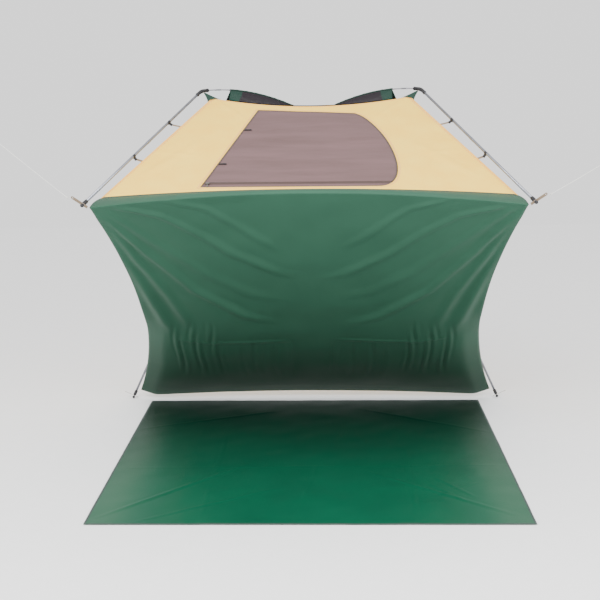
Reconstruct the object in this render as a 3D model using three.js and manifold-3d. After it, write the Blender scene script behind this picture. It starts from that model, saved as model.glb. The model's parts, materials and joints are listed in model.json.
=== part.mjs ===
// Dome tent with a sewn-in tub floor, tipped back on its rear feet above a separate ground sheet.
//
// Row frame, millimetres: +X to the right seen from the front, +Y to the rear, +Z up, with the
// origin at the centre of the ground sheet's underside.
//
// Places on the tent are written as tent(x, forward, height). Forward runs from the line through
// the rear feet towards the front feet, and height is above the plane of the four feet. The tent's
// group is then turned about the line through the rear feet.

import * as THREE from 'three';
import { mergeVertices } from 'three/addons/utils/BufferGeometryUtils.js';
import Module from 'manifold-3d';

const wasm = await Module();
wasm.setup();

// ---- Driving dimensions ----

const TILT = THREE.MathUtils.degToRad(39.3);
const CLOTH = 2;
const GAP = 0.4;

const SHEET_SIDE = 2844;
const SHEET_CORNER = 40;
const SHEET_TO_FEET = 107;

const REAR_FOOT_X = 1600;
const FRONT_FOOT_X = 1464;
const FOOT_DEPTH = 3065;
const HUB_X = 843;
const HUB_INSET = 757;
const HUB_HEIGHT = 1544;

const LEG_RADIUS = 9.5;
const LEG_BORE = 8.7;
const SPIGOT_RADIUS = 8.3;
const SPIGOT_BORE = 7.3;
const SPIGOT_LENGTH = 60;
const LEG_SIDES = 12;

const FOOT_RADIUS = 12;
const FOOT_NECK_RADIUS = 6;
const FOOT_NECK_TOP = 18;
const FOOT_CAP_RADIUS = 13;
const FOOT_CAP_LOW = 21;
const FOOT_SOCKET = 30;
const FOOT_TOP = 60;
const SOCKET_RADIUS = 10.2;

const ELBOW_RADIUS = 14;
const ELBOW_ARM = 75;
const ELBOW_SOCKET = 45;
const ELBOW_SIDES = 12;
const ELBOW_STEPS = 8;

const POLE_RADIUS = 5;
const POLE_SIDES = 8;
const POLE_STEPS = 20;
const POLE_RISE = 350;
const POLE_CROSSING = 7;
const POLE_SOCKET_RADIUS = 6.5;

const SLEEVE_RADIUS = 9;
const SLEEVE_BORE = 6.8;
const SLEEVE_START = 0.13;
const SLEEVE_END = 0.465;
const SLEEVE_STEPS = 6;

const CLIP_PLACES = { lower: 0.39, upper: 0.69 };
const CLIP_RADIUS = 14;
const CLIP_WIDTH = 22;
const CLIP_TAB = 34;
const CLIP_TAB_HALF = 3;
const CLIP_MOUTH = THREE.MathUtils.degToRad(55);
const CLIP_TAB_ANGLE = Math.asin(CLIP_TAB_HALF / CLIP_RADIUS);

const CLOTH_TOP_X = 752;
const CLOTH_TOP_FRONT = 2290;
const CLOTH_TOP_REAR = 775;
const CLOTH_TOP_HEIGHT = 1490;
const CLOTH_TOP_SAG = 136;

const FLOOR_REAR_X = 1535;
const FLOOR_FRONT_X = 1420;
const FLOOR_REAR = 28;
const FLOOR_FRONT = 3040;
const FLOOR_WAIST = 175;
const FLOOR_WAIST_PLACE = 0.4;
const FLOOR_FRONT_LIFT = 190;
const FLOOR_FRONT_PULL = 130;
const FLOOR_REAR_LIFT = 45;
const FLOOR_SIDE_LIFT = 60;
const FLOOR_BELLY = 40;
const FLOOR_CELLS = 12;

const RIM_X_FRONT = 1378;
const RIM_X_REAR = 1478;
const RIM_FRONT = 2919;
const RIM_REAR = 95;
const RIM_HEIGHT = 150;
const RIM_BOW = {
  front: { pull: 32, lift: 72 },
  rear: { pull: 10, lift: 40 },
  side: { pull: 130, lift: 60 },
};

const WALL_FOOT = 2990;
const WALL_SLOPE = (WALL_FOOT - CLOTH_TOP_FRONT) / CLOTH_TOP_HEIGHT;
const WALL_CELLS = 8;
const WINDOW_FIRST_CELL = 2;
const WINDOW_LAST_CELL = 5;
const WINDOW_GAP = 0.004;
const SEAM_GAP = 0.0025;
const WALL_START = 0.002;

const SEAM_ENDS = 170;
const SEAM_MIDDLE = 260;
const TOP_INSET = 3;
const TOP_ENDS = 1640;
const TOP_MIDDLE = 1490;

const DOOR_FOOT = { x: -732, along: 302 };
const DOOR_HEAD = { x: -395, along: 1438 };
const DOOR_TOP_RIGHT = { x: 330, along: 1372 };
const DOOR_BOTTOM_RIGHT = { x: 470, along: 302 };
const DOOR_BULGE_HIGH = { x: 545, along: 1240 };
const DOOR_BULGE_LOW = { x: 760, along: 302 };
const DOOR_GAP = 2;
const MIN_SHARPNESS = 0.3;
const ZIP_LINE = 355;
const ZIP_GAP = 4;

const SLIDER = { x: -685, length: 26, width: 14, height: 8 };
const PULL = { length: 34, width: 9, thickness: 2.4, lift: 3, clear: 1.7 };
const TOGGLE = { radius: 5, length: 52, sides: 8, clear: 14 };
const TOGGLE_PLACES = { lower: 0.27, upper: 0.71 };

const PANEL_DROP = 21;
const PANEL_EDGE = 6.5;
const PANEL_START = 0.13;
const PANEL_END = 0.485;
const PANEL_OFF_WALL = 5;
const PANEL_CORNER = 0.085;
const PANEL_CELLS = 5;

const PATCH_REACH = 70;
const PATCH_INSET = 8;
const PATCH_ROOT = 0.3;
const PATCH_TIP = 0.62;

const TAIL_ANGLE = THREE.MathUtils.degToRad(30);
const WEBBING = { inner: 34, outer: 92, width: 22, eyelet: 6.6, loopHole: 5, loopPlace: 80, place: 14 };

const LINE_RADIUS = 1.5;
const LINE_SIDES = 8;
const LINE_STEPS = 20;

// Routes of the two lines, in the row frame: from the webbing's end outwards and up.
const LEFT_LINE_ROUTE = [
  [-1553, -842, 2003],
  [-1600, -842, 2041],
  [-1660, -842, 2090],
  [-1720, -842, 2140],
  [-1780, -842, 2190],
  [-1840, -842, 2240],
  [-1900, -842, 2290],
  [-1960, -842, 2341],
  [-2020, -842, 2392],
  [-2052, -842, 2420],
];
const RIGHT_LINE_ROUTE = [
  [1553, -842, 2003],
  [1600, -842, 2030],
  [1650, -842, 2059],
  [1700, -842, 2088],
  [1750, -842, 2118],
  [1800, -842, 2148],
  [1850, -842, 2178],
  [1900, -842, 2209],
  [1950, -842, 2240],
];

// ---- Materials ----

const material = (color, roughness, metalness = 0) =>
  new THREE.MeshStandardMaterial({ color, roughness, metalness });

const MATERIALS = {
  floor: material('#2f5a48', 0.55),
  groundSheet: material('#1c5a4a', 0.5),
  tan: material('#f6dfae', 0.8),
  mesh: material('#8f8080', 0.9),
  darkMesh: material('#3f3a42', 0.9),
  green: material('#2f5f56', 0.7),
  steel: material('#8d8f98', 0.4, 0.8),
  blackPlastic: material('#26242a', 0.5),
  pole: material('#a9a7ad', 0.4),
  webbing: material('#8a7a68', 0.85),
  zip: material('#77706c', 0.5, 0.6),
  line: material('#e6e6e2', 0.7),
};

// ---- Helpers ----

const tent = (x, forward, height) => new THREE.Vector3(x, -forward, height);
const lerp = THREE.MathUtils.lerp;
const bow = (t) => 4 * t * (1 - t);
const UP = new THREE.Vector3(0, 1, 0);
const SIDES = { left: -1, right: 1 };

const footPlace = {
  front: (side) => tent(side * FRONT_FOOT_X, FOOT_DEPTH, 0),
  rear: (side) => tent(side * REAR_FOOT_X, 0, 0),
};
const hubPlace = {
  front: (side) => tent(side * HUB_X, FOOT_DEPTH - HUB_INSET, HUB_HEIGHT),
  rear: (side) => tent(side * HUB_X, HUB_INSET, HUB_HEIGHT),
};
const clothCorner = {
  front: (side) => tent(side * CLOTH_TOP_X, CLOTH_TOP_FRONT, CLOTH_TOP_HEIGHT),
  rear: (side) => tent(side * CLOTH_TOP_X, CLOTH_TOP_REAR, CLOTH_TOP_HEIGHT),
};
const rimCorner = {
  front: (side) => tent(side * RIM_X_FRONT, RIM_FRONT, RIM_HEIGHT),
  rear: (side) => tent(side * RIM_X_REAR, RIM_REAR, RIM_HEIGHT),
};
const ENDS = Object.keys(footPlace);

function part(name, geometry, look) {
  const mesh = new THREE.Mesh(geometry, look);
  mesh.name = name;
  return mesh;
}

// A mesh whose own +Y axis points along a direction, with its origin at a place.
function partAlong(name, geometry, look, place, direction) {
  const mesh = part(name, geometry, look);
  mesh.position.copy(place);
  mesh.quaternion.setFromUnitVectors(UP, direction);
  return mesh;
}

// A closed solid of even thickness about a curved sheet. point(u, w) gives its middle surface for
// u and w from 0 to 1, and open(i, j) is true for a cell that is left out.
function clothSolid(point, columns, rows, open = () => false, thickness = CLOTH) {
  const index = (i, j) => j * (columns + 1) + i;
  const middle = [];
  for (let j = 0; j <= rows; j += 1) {
    for (let i = 0; i <= columns; i += 1) middle.push(point(i / columns, j / rows));
  }
  const clamp = THREE.MathUtils.clamp;
  const step = (i, j) => middle[index(clamp(i, 0, columns), clamp(j, 0, rows))];
  const positions = [];
  for (const side of [0.5, -0.5]) {
    for (let j = 0; j <= rows; j += 1) {
      for (let i = 0; i <= columns; i += 1) {
        const along = step(i + 1, j).clone().sub(step(i - 1, j));
        const up = step(i, j + 1).clone().sub(step(i, j - 1));
        const normal = along.cross(up).normalize();
        positions.push(...step(i, j).clone().addScaledVector(normal, side * thickness));
      }
    }
  }
  const count = middle.length;
  const kept = (i, j) => i >= 0 && j >= 0 && i < columns && j < rows && !open(i, j);
  const faces = [];
  const quad = (a, b, c, d) => faces.push(a, b, c, a, c, d);
  for (let j = 0; j < rows; j += 1) {
    for (let i = 0; i < columns; i += 1) {
      if (!kept(i, j)) continue;
      const corners = [index(i, j), index(i + 1, j), index(i + 1, j + 1), index(i, j + 1)];
      const neighbours = [[i, j - 1], [i + 1, j], [i, j + 1], [i - 1, j]];
      quad(...corners);
      const [a, b, c, d] = corners.map((corner) => corner + count);
      quad(a, d, c, b);
      neighbours.forEach((neighbour, k) => {
        if (kept(...neighbour)) return;
        const start = corners[k];
        const end = corners[(k + 1) % corners.length];
        quad(start, start + count, end + count, end);
      });
    }
  }
  const geometry = new THREE.BufferGeometry();
  geometry.setAttribute('position', new THREE.Float32BufferAttribute(positions, 3));
  geometry.setIndex(faces);
  geometry.computeVertexNormals();
  return geometry;
}

// A flat closed solid of even thickness, lying half above and half below z = 0.
function flatSolid(shape, thickness, curveSegments = 8) {
  const geometry = new THREE.ExtrudeGeometry(shape, {
    depth: thickness,
    bevelEnabled: false,
    curveSegments,
  });
  return geometry.translate(0, 0, -thickness / 2);
}

function circleShape(radius, sides) {
  const points = [];
  for (let k = 0; k < sides; k += 1) {
    const angle = (2 * Math.PI * k) / sides;
    points.push(new THREE.Vector2(radius * Math.cos(angle), radius * Math.sin(angle)));
  }
  return new THREE.Shape(points);
}

function rodAlong(curve, radius, sides, steps, bore = 0) {
  const section = circleShape(radius, sides);
  if (bore > 0) section.holes.push(circleShape(bore, sides));
  return new THREE.ExtrudeGeometry(section, { steps, extrudePath: curve, bevelEnabled: false });
}

// A solid of revolution about +Y whose outline is a closed loop of [radius, height] pairs.
function turned(outline, sides) {
  return new THREE.LatheGeometry(outline.map(([r, y]) => new THREE.Vector2(r, y)), sides);
}

function toSolid(geometry) {
  const bare = geometry.clone();
  bare.deleteAttribute('normal');
  bare.deleteAttribute('uv');
  const merged = mergeVertices(bare);
  return new wasm.Manifold(new wasm.Mesh({
    numProp: 3,
    vertProperties: merged.attributes.position.array,
    triVerts: Uint32Array.from(merged.index.array),
  }));
}

function toGeometry(solid) {
  const mesh = solid.getMesh();
  const geometry = new THREE.BufferGeometry();
  geometry.setAttribute('position', new THREE.Float32BufferAttribute(mesh.vertProperties, 3));
  geometry.setIndex(Array.from(mesh.triVerts));
  geometry.computeVertexNormals();
  return geometry;
}

// ---- Legs, feet and elbows ----

// Distances along a leg are measured from the centre of its foot's round end.
function legFrame(end, side) {
  const foot = footPlace[end](side);
  const hub = hubPlace[end](side);
  const axis = hub.clone().sub(foot);
  const length = axis.length();
  return { foot, hub, axis: axis.normalize(), length };
}

function footGeometry() {
  const outline = [[0, -FOOT_RADIUS]];
  const arcSteps = 3;
  for (let k = 1; k <= arcSteps; k += 1) {
    const angle = (Math.PI / 2) * (k / arcSteps);
    outline.push([FOOT_RADIUS * Math.sin(angle), -FOOT_RADIUS * Math.cos(angle)]);
  }
  outline.push(
    [FOOT_NECK_RADIUS, FOOT_RADIUS - FOOT_NECK_RADIUS],
    [FOOT_NECK_RADIUS, FOOT_NECK_TOP],
    [FOOT_CAP_RADIUS, FOOT_CAP_LOW],
    [FOOT_CAP_RADIUS, FOOT_TOP],
    [SOCKET_RADIUS, FOOT_TOP],
    [SOCKET_RADIUS, FOOT_SOCKET],
    [0, FOOT_SOCKET],
  );
  return turned(outline, LEG_SIDES);
}

function lowerLegGeometry(joint) {
  const start = FOOT_SOCKET + GAP;
  return turned([
    [LEG_BORE, start],
    [LEG_RADIUS, start],
    [LEG_RADIUS, joint],
    [SPIGOT_RADIUS, joint],
    [SPIGOT_RADIUS, joint + SPIGOT_LENGTH],
    [SPIGOT_BORE, joint + SPIGOT_LENGTH],
    [SPIGOT_BORE, joint - SPIGOT_LENGTH],
    [LEG_BORE, joint - SPIGOT_LENGTH],
    [LEG_BORE, start],
  ], LEG_SIDES);
}

function upperLegGeometry(joint, top) {
  const start = joint + GAP;
  return turned([
    [LEG_BORE, start],
    [LEG_RADIUS, start],
    [LEG_RADIUS, top],
    [LEG_BORE, top],
    [LEG_BORE, start],
  ], LEG_SIDES);
}

function addLeg(group, end, side, label) {
  const { foot, axis, length } = legFrame(end, side);
  const joint = length / 2;
  const top = length - (ELBOW_ARM - ELBOW_SOCKET) - GAP;
  group.add(
    partAlong(`foot_${label}`, footGeometry(), MATERIALS.blackPlastic, foot, axis),
    partAlong(`lower_leg_${label}`, lowerLegGeometry(joint), MATERIALS.steel, foot, axis),
    partAlong(`upper_leg_${label}`, upperLegGeometry(joint, top), MATERIALS.steel, foot, axis),
  );
}

// Straight cutter for a socket: it runs outwards from a point and is longer than the socket.
function socketCutter(start, direction, radius, sides) {
  const end = start.clone().addScaledVector(direction, ELBOW_SOCKET + ELBOW_RADIUS);
  return toSolid(rodAlong(new THREE.LineCurve3(start, end), radius, sides, 1));
}

function elbowGeometry(end, side) {
  const { hub, axis } = legFrame(end, side);
  const down = axis.clone().negate();
  const inward = poleDirection(end, side);
  const bend = new THREE.QuadraticBezierCurve3(
    hub.clone().addScaledVector(down, ELBOW_ARM / 2),
    hub,
    hub.clone().addScaledVector(inward, ELBOW_ARM / 2),
  );
  const path = new THREE.CurvePath();
  path.add(new THREE.LineCurve3(hub.clone().addScaledVector(down, ELBOW_ARM), bend.v0));
  path.add(bend);
  path.add(new THREE.LineCurve3(bend.v2, hub.clone().addScaledVector(inward, ELBOW_ARM)));
  const body = toSolid(rodAlong(path, ELBOW_RADIUS, ELBOW_SIDES, ELBOW_STEPS));
  const socketStart = ELBOW_ARM - ELBOW_SOCKET;
  const legStart = hub.clone().addScaledVector(down, socketStart);
  const poleStart = hub.clone().addScaledVector(inward, socketStart);
  const legSocket = socketCutter(legStart, down, SOCKET_RADIUS, LEG_SIDES);
  const poleSocket = socketCutter(poleStart, inward, POLE_SOCKET_RADIUS, POLE_SIDES);
  return toGeometry(body.subtract(legSocket).subtract(poleSocket));
}

// ---- Roof poles and sleeves ----

// Two poles run from hub to hub over the peak. The first passes above the second.
const POLE_ENDS = [
  { name: 'roof_pole_upper', side: SIDES.left, lift: POLE_CROSSING },
  { name: 'roof_pole_lower', side: SIDES.right, lift: -POLE_CROSSING },
];

// The arc of a pole that starts at the front hub on one side, as a function of t from 0 to 1.
function poleArc(side, lift) {
  const start = hubPlace.front(side);
  const end = hubPlace.rear(-side);
  const half = start.distanceTo(end) / 2;
  const rise = POLE_RISE + lift;
  const radius = (half * half + rise * rise) / (2 * rise);
  const spread = Math.asin(half / radius);
  return (t) => {
    const angle = lerp(-spread, spread, t);
    const travel = (1 + Math.sin(angle) / Math.sin(spread)) / 2;
    const height = radius * (Math.cos(angle) - Math.cos(spread));
    const place = start.clone().lerp(end, travel);
    return place.setZ(place.z + height);
  };
}

// The arc's point at t counted from the named hub, whichever pole it is on.
function arcFromHub(end, side) {
  const frontSide = end === 'front' ? side : -side;
  const pole = POLE_ENDS.find((candidate) => candidate.side === frontSide);
  const arc = poleArc(frontSide, pole.lift);
  return end === 'front' ? arc : (t) => arc(1 - t);
}

function poleDirection(end, side) {
  const arc = arcFromHub(end, side);
  const nearHub = 0.02;
  return arc(nearHub).sub(arc(0)).normalize();
}

function curveThrough(pointAt, from, to, count) {
  const points = [];
  for (let k = 0; k <= count; k += 1) points.push(pointAt(lerp(from, to, k / count)));
  return new THREE.CatmullRomCurve3(points);
}

function addPoles(group) {
  for (const { name, side, lift } of POLE_ENDS) {
    const arc = poleArc(side, lift);
    const chord = arc(0).distanceTo(arc(1));
    const inset = (ELBOW_ARM - ELBOW_SOCKET + GAP) / chord;
    const curve = curveThrough(arc, inset, 1 - inset, POLE_STEPS);
    group.add(part(name, rodAlong(curve, POLE_RADIUS, POLE_SIDES, POLE_STEPS), MATERIALS.pole));
  }
}

function sleeveGeometry(end, side) {
  const curve = curveThrough(arcFromHub(end, side), SLEEVE_START, SLEEVE_END, SLEEVE_STEPS);
  return rodAlong(curve, SLEEVE_RADIUS, POLE_SIDES, SLEEVE_STEPS, SLEEVE_BORE);
}

// ---- Clips, webbing and corner patches ----

function clipShape() {
  const shape = new THREE.Shape();
  const last = 2 * Math.PI - CLIP_MOUTH;
  shape.absarc(0, 0, CLIP_RADIUS, CLIP_MOUTH, Math.PI - CLIP_TAB_ANGLE, false);
  shape.lineTo(-CLIP_TAB, CLIP_TAB_HALF);
  shape.lineTo(-CLIP_TAB, -CLIP_TAB_HALF);
  shape.absarc(0, 0, CLIP_RADIUS, Math.PI + CLIP_TAB_ANGLE, last, false);
  shape.absarc(0, 0, SOCKET_RADIUS, last, CLIP_MOUTH, true);
  return shape;
}

function addClips(group, end, side, label) {
  const { foot, axis, length } = legFrame(end, side);
  for (const [level, place] of Object.entries(CLIP_PLACES)) {
    const onLeg = foot.clone().addScaledVector(axis, length * place);
    const low = rimCorner[end](side);
    const high = clothCorner[end](side);
    const share = (onLeg.z - low.z) / (high.z - low.z);
    const toCloth = low.clone().lerp(high, share).sub(onLeg);
    toCloth.addScaledVector(axis, -toCloth.dot(axis)).normalize();
    const away = toCloth.negate();
    const across = axis.clone().cross(away);
    const arcSegments = 5;
    const mesh = part(`clip_${level}_${label}`, flatSolid(clipShape(), CLIP_WIDTH, arcSegments),
      MATERIALS.blackPlastic);
    mesh.position.copy(onLeg);
    mesh.quaternion.setFromRotationMatrix(new THREE.Matrix4().makeBasis(away, across, axis));
    group.add(mesh);
  }
}

function webbingShape() {
  const half = WEBBING.width / 2;
  const shape = new THREE.Shape();
  shape.moveTo(-WEBBING.inner, -half);
  shape.lineTo(WEBBING.outer - half, -half);
  shape.absarc(WEBBING.outer - half, 0, half, -Math.PI / 2, Math.PI / 2, false);
  shape.lineTo(-WEBBING.inner, half);
  shape.closePath();
  const holeSides = 8;
  shape.holes.push(circleShape(WEBBING.eyelet, LEG_SIDES));
  const loopHole = new THREE.Path(
    circleShape(WEBBING.loopHole, holeSides).getPoints()
      .map((point) => new THREE.Vector2(point.x + WEBBING.loopPlace, point.y)),
  );
  shape.holes.push(loopHole);
  return shape;
}

// The webbing lies square to its leg, round the foot's neck, and its tail points outwards: up along
// the line at the front, and along the line through the rear feet at the rear.
function addWebbing(group, end, side, label) {
  const { foot, axis } = legFrame(end, side);
  const tailDirection = {
    front: new THREE.Vector3(side * Math.cos(TAIL_ANGLE), 0, Math.sin(TAIL_ANGLE))
      .applyAxisAngle(new THREE.Vector3(1, 0, 0), TILT),
    rear: new THREE.Vector3(side, 0, 0),
  }[end];
  const tail = tailDirection.addScaledVector(axis, -tailDirection.dot(axis)).normalize();
  const across = axis.clone().cross(tail);
  const arcSegments = 6;
  const mesh = part(`webbing_${label}`, flatSolid(webbingShape(), CLOTH, arcSegments),
    MATERIALS.webbing);
  mesh.position.copy(foot).addScaledVector(axis, WEBBING.place);
  mesh.quaternion.setFromRotationMatrix(new THREE.Matrix4().makeBasis(tail, across, axis));
  group.add(mesh);
}

// A three-cornered patch between the elbow and the top corner of the walls.
function patchGeometry(end, side) {
  const hub = hubPlace[end](side);
  const corner = clothCorner[end](side);
  const { axis } = legFrame(end, side);
  const inward = poleDirection(end, side).setZ(0).normalize();
  const root = corner.clone().lerp(hub, PATCH_ROOT);
  const tip = corner.clone().lerp(hub, PATCH_TIP);
  const across = axis.clone().cross(inward).normalize();
  return clothSolid((u, w) => {
    const half = lerp(PATCH_REACH / 2, PATCH_INSET / 2, w);
    return root.clone().lerp(tip, w).addScaledVector(across, lerp(-half, half, u));
  }, 2, 2);
}

// ---- Tub floor and walls ----

// Half width of the floor's crease at t from 0 at the rear to 1 at the front.
function floorHalfWidth(t) {
  const straight = lerp(FLOOR_REAR_X, FLOOR_FRONT_X, t);
  const reach = t < FLOOR_WAIST_PLACE ? t / FLOOR_WAIST_PLACE
    : (1 - t) / (1 - FLOOR_WAIST_PLACE);
  return straight - FLOOR_WAIST * (1 - (1 - reach) ** 2);
}

// The floor, with s from -1 at the left crease to 1 at the right one.
function floorPoint(s, t) {
  const middle = 1 - s * s;
  const pull = lerp(0, FLOOR_FRONT_PULL, t) * middle;
  const edges = lerp(FLOOR_REAR_LIFT, FLOOR_FRONT_LIFT, t) * middle;
  const sides = FLOOR_SIDE_LIFT * bow(t) * s * s;
  const belly = FLOOR_BELLY * middle * bow(t);
  return tent(s * floorHalfWidth(t), lerp(FLOOR_REAR, FLOOR_FRONT, t) - pull, edges + sides - belly);
}

// The seam line round the tub: where the walls start.
const rim = {
  front: (s) => {
    const middle = 1 - s * s;
    return tent(s * RIM_X_FRONT, RIM_FRONT - RIM_BOW.front.pull * middle,
      RIM_HEIGHT + RIM_BOW.front.lift * middle);
  },
  rear: (s) => {
    const middle = 1 - s * s;
    return tent(s * RIM_X_REAR, RIM_REAR - RIM_BOW.rear.pull * middle,
      RIM_HEIGHT + RIM_BOW.rear.lift * middle);
  },
  side: (side, t) => tent(
    side * (lerp(RIM_X_REAR, RIM_X_FRONT, t) - RIM_BOW.side.pull * bow(t)),
    lerp(RIM_REAR, RIM_FRONT, t),
    RIM_HEIGHT + RIM_BOW.side.lift * bow(t),
  ),
};

// Sheet of floor cells with one ring of cells round it, which are the tub's turned-up strips.
function floorGeometry() {
  const inner = FLOOR_CELLS;
  const all = inner + 2;
  return clothSolid((u, w) => {
    const s = THREE.MathUtils.clamp((u * all - 1) / inner, 0, 1) * 2 - 1;
    const t = THREE.MathUtils.clamp((w * all - 1) / inner, 0, 1);
    if (w === 0) return rim.rear(s);
    if (w === 1) return rim.front(s);
    if (u === 0) return rim.side(SIDES.left, t);
    if (u === 1) return rim.side(SIDES.right, t);
    return floorPoint(s, t);
  }, all, all);
}

// A wall ruled from its seam line up to the sagging top edge, inset a little at every border.
function ruledWall(seam, top) {
  return (u, w) => {
    const across = lerp(SEAM_GAP, 1 - SEAM_GAP, u);
    const up = lerp(WALL_START, 1, w);
    return seam(across).lerp(top(across), up);
  };
}

// A wall's top edge between two corners: its middle hangs lower, and so further out on the slope.
function topEdge(from, to) {
  const middle = from.clone().lerp(to, 0.5);
  const outward = middle.clone().sub(tent(0, (CLOTH_TOP_FRONT + CLOTH_TOP_REAR) / 2, middle.z));
  const drop = outward.normalize().multiplyScalar(WALL_SLOPE).setZ(-1);
  return (u) => from.clone().lerp(to, u).addScaledVector(drop, CLOTH_TOP_SAG * bow(u));
}

const WALLS = {
  left: ruledWall((u) => rim.side(SIDES.left, 1 - u),
    topEdge(clothCorner.front(SIDES.left), clothCorner.rear(SIDES.left))),
  right: ruledWall((u) => rim.side(SIDES.right, u),
    topEdge(clothCorner.rear(SIDES.right), clothCorner.front(SIDES.right))),
  rear: ruledWall((u) => rim.rear(2 * u - 1),
    topEdge(clothCorner.rear(SIDES.left), clothCorner.rear(SIDES.right))),
};

function addWall(group, name, surface) {
  const inWindow = (k) => k >= WINDOW_FIRST_CELL && k <= WINDOW_LAST_CELL;
  const open = (i, j) => inWindow(i) && inWindow(j);
  const low = WINDOW_FIRST_CELL / WALL_CELLS + WINDOW_GAP;
  const high = (WINDOW_LAST_CELL + 1) / WALL_CELLS - WINDOW_GAP;
  const windowPoint = (u, w) => surface(lerp(low, high, u), lerp(low, high, w));
  const windowCells = WINDOW_LAST_CELL - WINDOW_FIRST_CELL + 1;
  group.add(
    part(`${name}_wall`, clothSolid(surface, WALL_CELLS, WALL_CELLS, open), MATERIALS.tan),
    part(`${name}_window`, clothSolid(windowPoint, windowCells, windowCells), MATERIALS.mesh),
  );
}

// ---- Front wall with its door ----

// The front wall is flat. Its own plane has x across and "along" up the slope from its foot.
function frontWallShape() {
  const shape = new THREE.Shape();
  const topX = CLOTH_TOP_X - TOP_INSET;
  const seamControl = 2 * SEAM_MIDDLE - SEAM_ENDS;
  const topControl = 2 * TOP_MIDDLE - TOP_ENDS;
  shape.moveTo(-RIM_X_FRONT, SEAM_ENDS);
  shape.quadraticCurveTo(0, seamControl, RIM_X_FRONT, SEAM_ENDS);
  shape.lineTo(topX, TOP_ENDS);
  shape.quadraticCurveTo(0, topControl, -topX, TOP_ENDS);
  shape.closePath();
  shape.holes.push(new THREE.Path(doorOutline(0)));
  return shape;
}

// The door opening: a straight leaning hinge side, and one sweep round the top right and bottom.
function doorOutline(inset) {
  const path = new THREE.Path();
  path.moveTo(DOOR_FOOT.x, DOOR_FOOT.along);
  path.lineTo(DOOR_BOTTOM_RIGHT.x, DOOR_BOTTOM_RIGHT.along);
  path.bezierCurveTo(DOOR_BULGE_LOW.x, DOOR_BULGE_LOW.along, DOOR_BULGE_HIGH.x,
    DOOR_BULGE_HIGH.along, DOOR_TOP_RIGHT.x, DOOR_TOP_RIGHT.along);
  path.lineTo(DOOR_HEAD.x, DOOR_HEAD.along);
  const curveSteps = 12;
  return insetOutline(path.getPoints(curveSteps), inset);
}

// Moves each corner of a closed anticlockwise outline inwards.
function insetOutline(points, inset) {
  const count = points.length;
  return points.map((point, k) => {
    const before = point.clone().sub(points[(k + count - 1) % count]).normalize();
    const after = points[(k + 1) % count].clone().sub(point).normalize();
    const tangent = before.add(after).normalize();
    const inward = new THREE.Vector2(-tangent.y, tangent.x);
    const sharpness = Math.abs(tangent.x * after.x + tangent.y * after.y);
    return point.clone().addScaledVector(inward, inset / Math.max(sharpness, MIN_SHARPNESS));
  });
}

// The part of a closed outline above (sign 1) or below (sign -1) a level.
function clipOutline(points, level, sign) {
  const kept = [];
  points.forEach((point, k) => {
    const next = points[(k + 1) % points.length];
    const here = (point.y - level) * sign;
    const there = (next.y - level) * sign;
    if (here >= 0) kept.push(point);
    if (here * there < 0) kept.push(point.clone().lerp(next, here / (here - there)));
  });
  return kept;
}

const hingePoint = (t) => new THREE.Vector2(
  lerp(DOOR_FOOT.x, DOOR_HEAD.x, t),
  lerp(DOOR_FOOT.along, DOOR_HEAD.along, t),
);

function addDoor(plane) {
  const outline = doorOutline(DOOR_GAP);
  const doorShape = new THREE.Shape(clipOutline(outline, ZIP_LINE + ZIP_GAP / 2, 1));
  const sillShape = new THREE.Shape(clipOutline(outline, ZIP_LINE - ZIP_GAP / 2, -1));
  plane.add(
    part('door_panel', flatSolid(doorShape, CLOTH), MATERIALS.mesh),
    part('door_sill', flatSolid(sillShape, CLOTH), MATERIALS.mesh),
  );
}

function addZip(plane) {
  const sliderTop = ZIP_LINE - ZIP_GAP;
  const body = new THREE.BoxGeometry(SLIDER.length, SLIDER.width, SLIDER.height);
  const slider = part('zip_slider', body, MATERIALS.zip);
  const base = CLOTH / 2 + GAP;
  slider.position.set(SLIDER.x, sliderTop - SLIDER.width / 2, base + SLIDER.height / 2);
  const tab = new THREE.BoxGeometry(PULL.width, PULL.length, PULL.thickness);
  const pull = part('zip_pull', tab, MATERIALS.zip);
  const pullTop = sliderTop - SLIDER.width - PULL.clear;
  pull.position.set(SLIDER.x, pullTop - PULL.length / 2, base + PULL.lift);
  plane.add(slider, pull);
}

function addToggles(plane) {
  for (const [level, place] of Object.entries(TOGGLE_PLACES)) {
    const root = hingePoint(place);
    const bar = new THREE.CylinderGeometry(TOGGLE.radius, TOGGLE.radius, TOGGLE.length, TOGGLE.sides);
    const toggle = part(`door_toggle_${level}`, bar.rotateZ(Math.PI / 2), MATERIALS.blackPlastic);
    toggle.position.set(root.x + TOGGLE.clear + TOGGLE.length / 2, root.y,
      CLOTH / 2 + GAP + TOGGLE.radius);
    plane.add(toggle);
  }
}

function frontWall() {
  const plane = new THREE.Group();
  const rise = CLOTH_TOP_HEIGHT;
  const run = WALL_FOOT - CLOTH_TOP_FRONT;
  plane.position.copy(tent(0, WALL_FOOT, 0));
  plane.rotation.x = Math.atan2(rise, run);
  plane.add(part('front_wall', flatSolid(frontWallShape(), CLOTH), MATERIALS.tan));
  addDoor(plane);
  addZip(plane);
  addToggles(plane);
  return plane;
}

// ---- Roof ----

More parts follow.
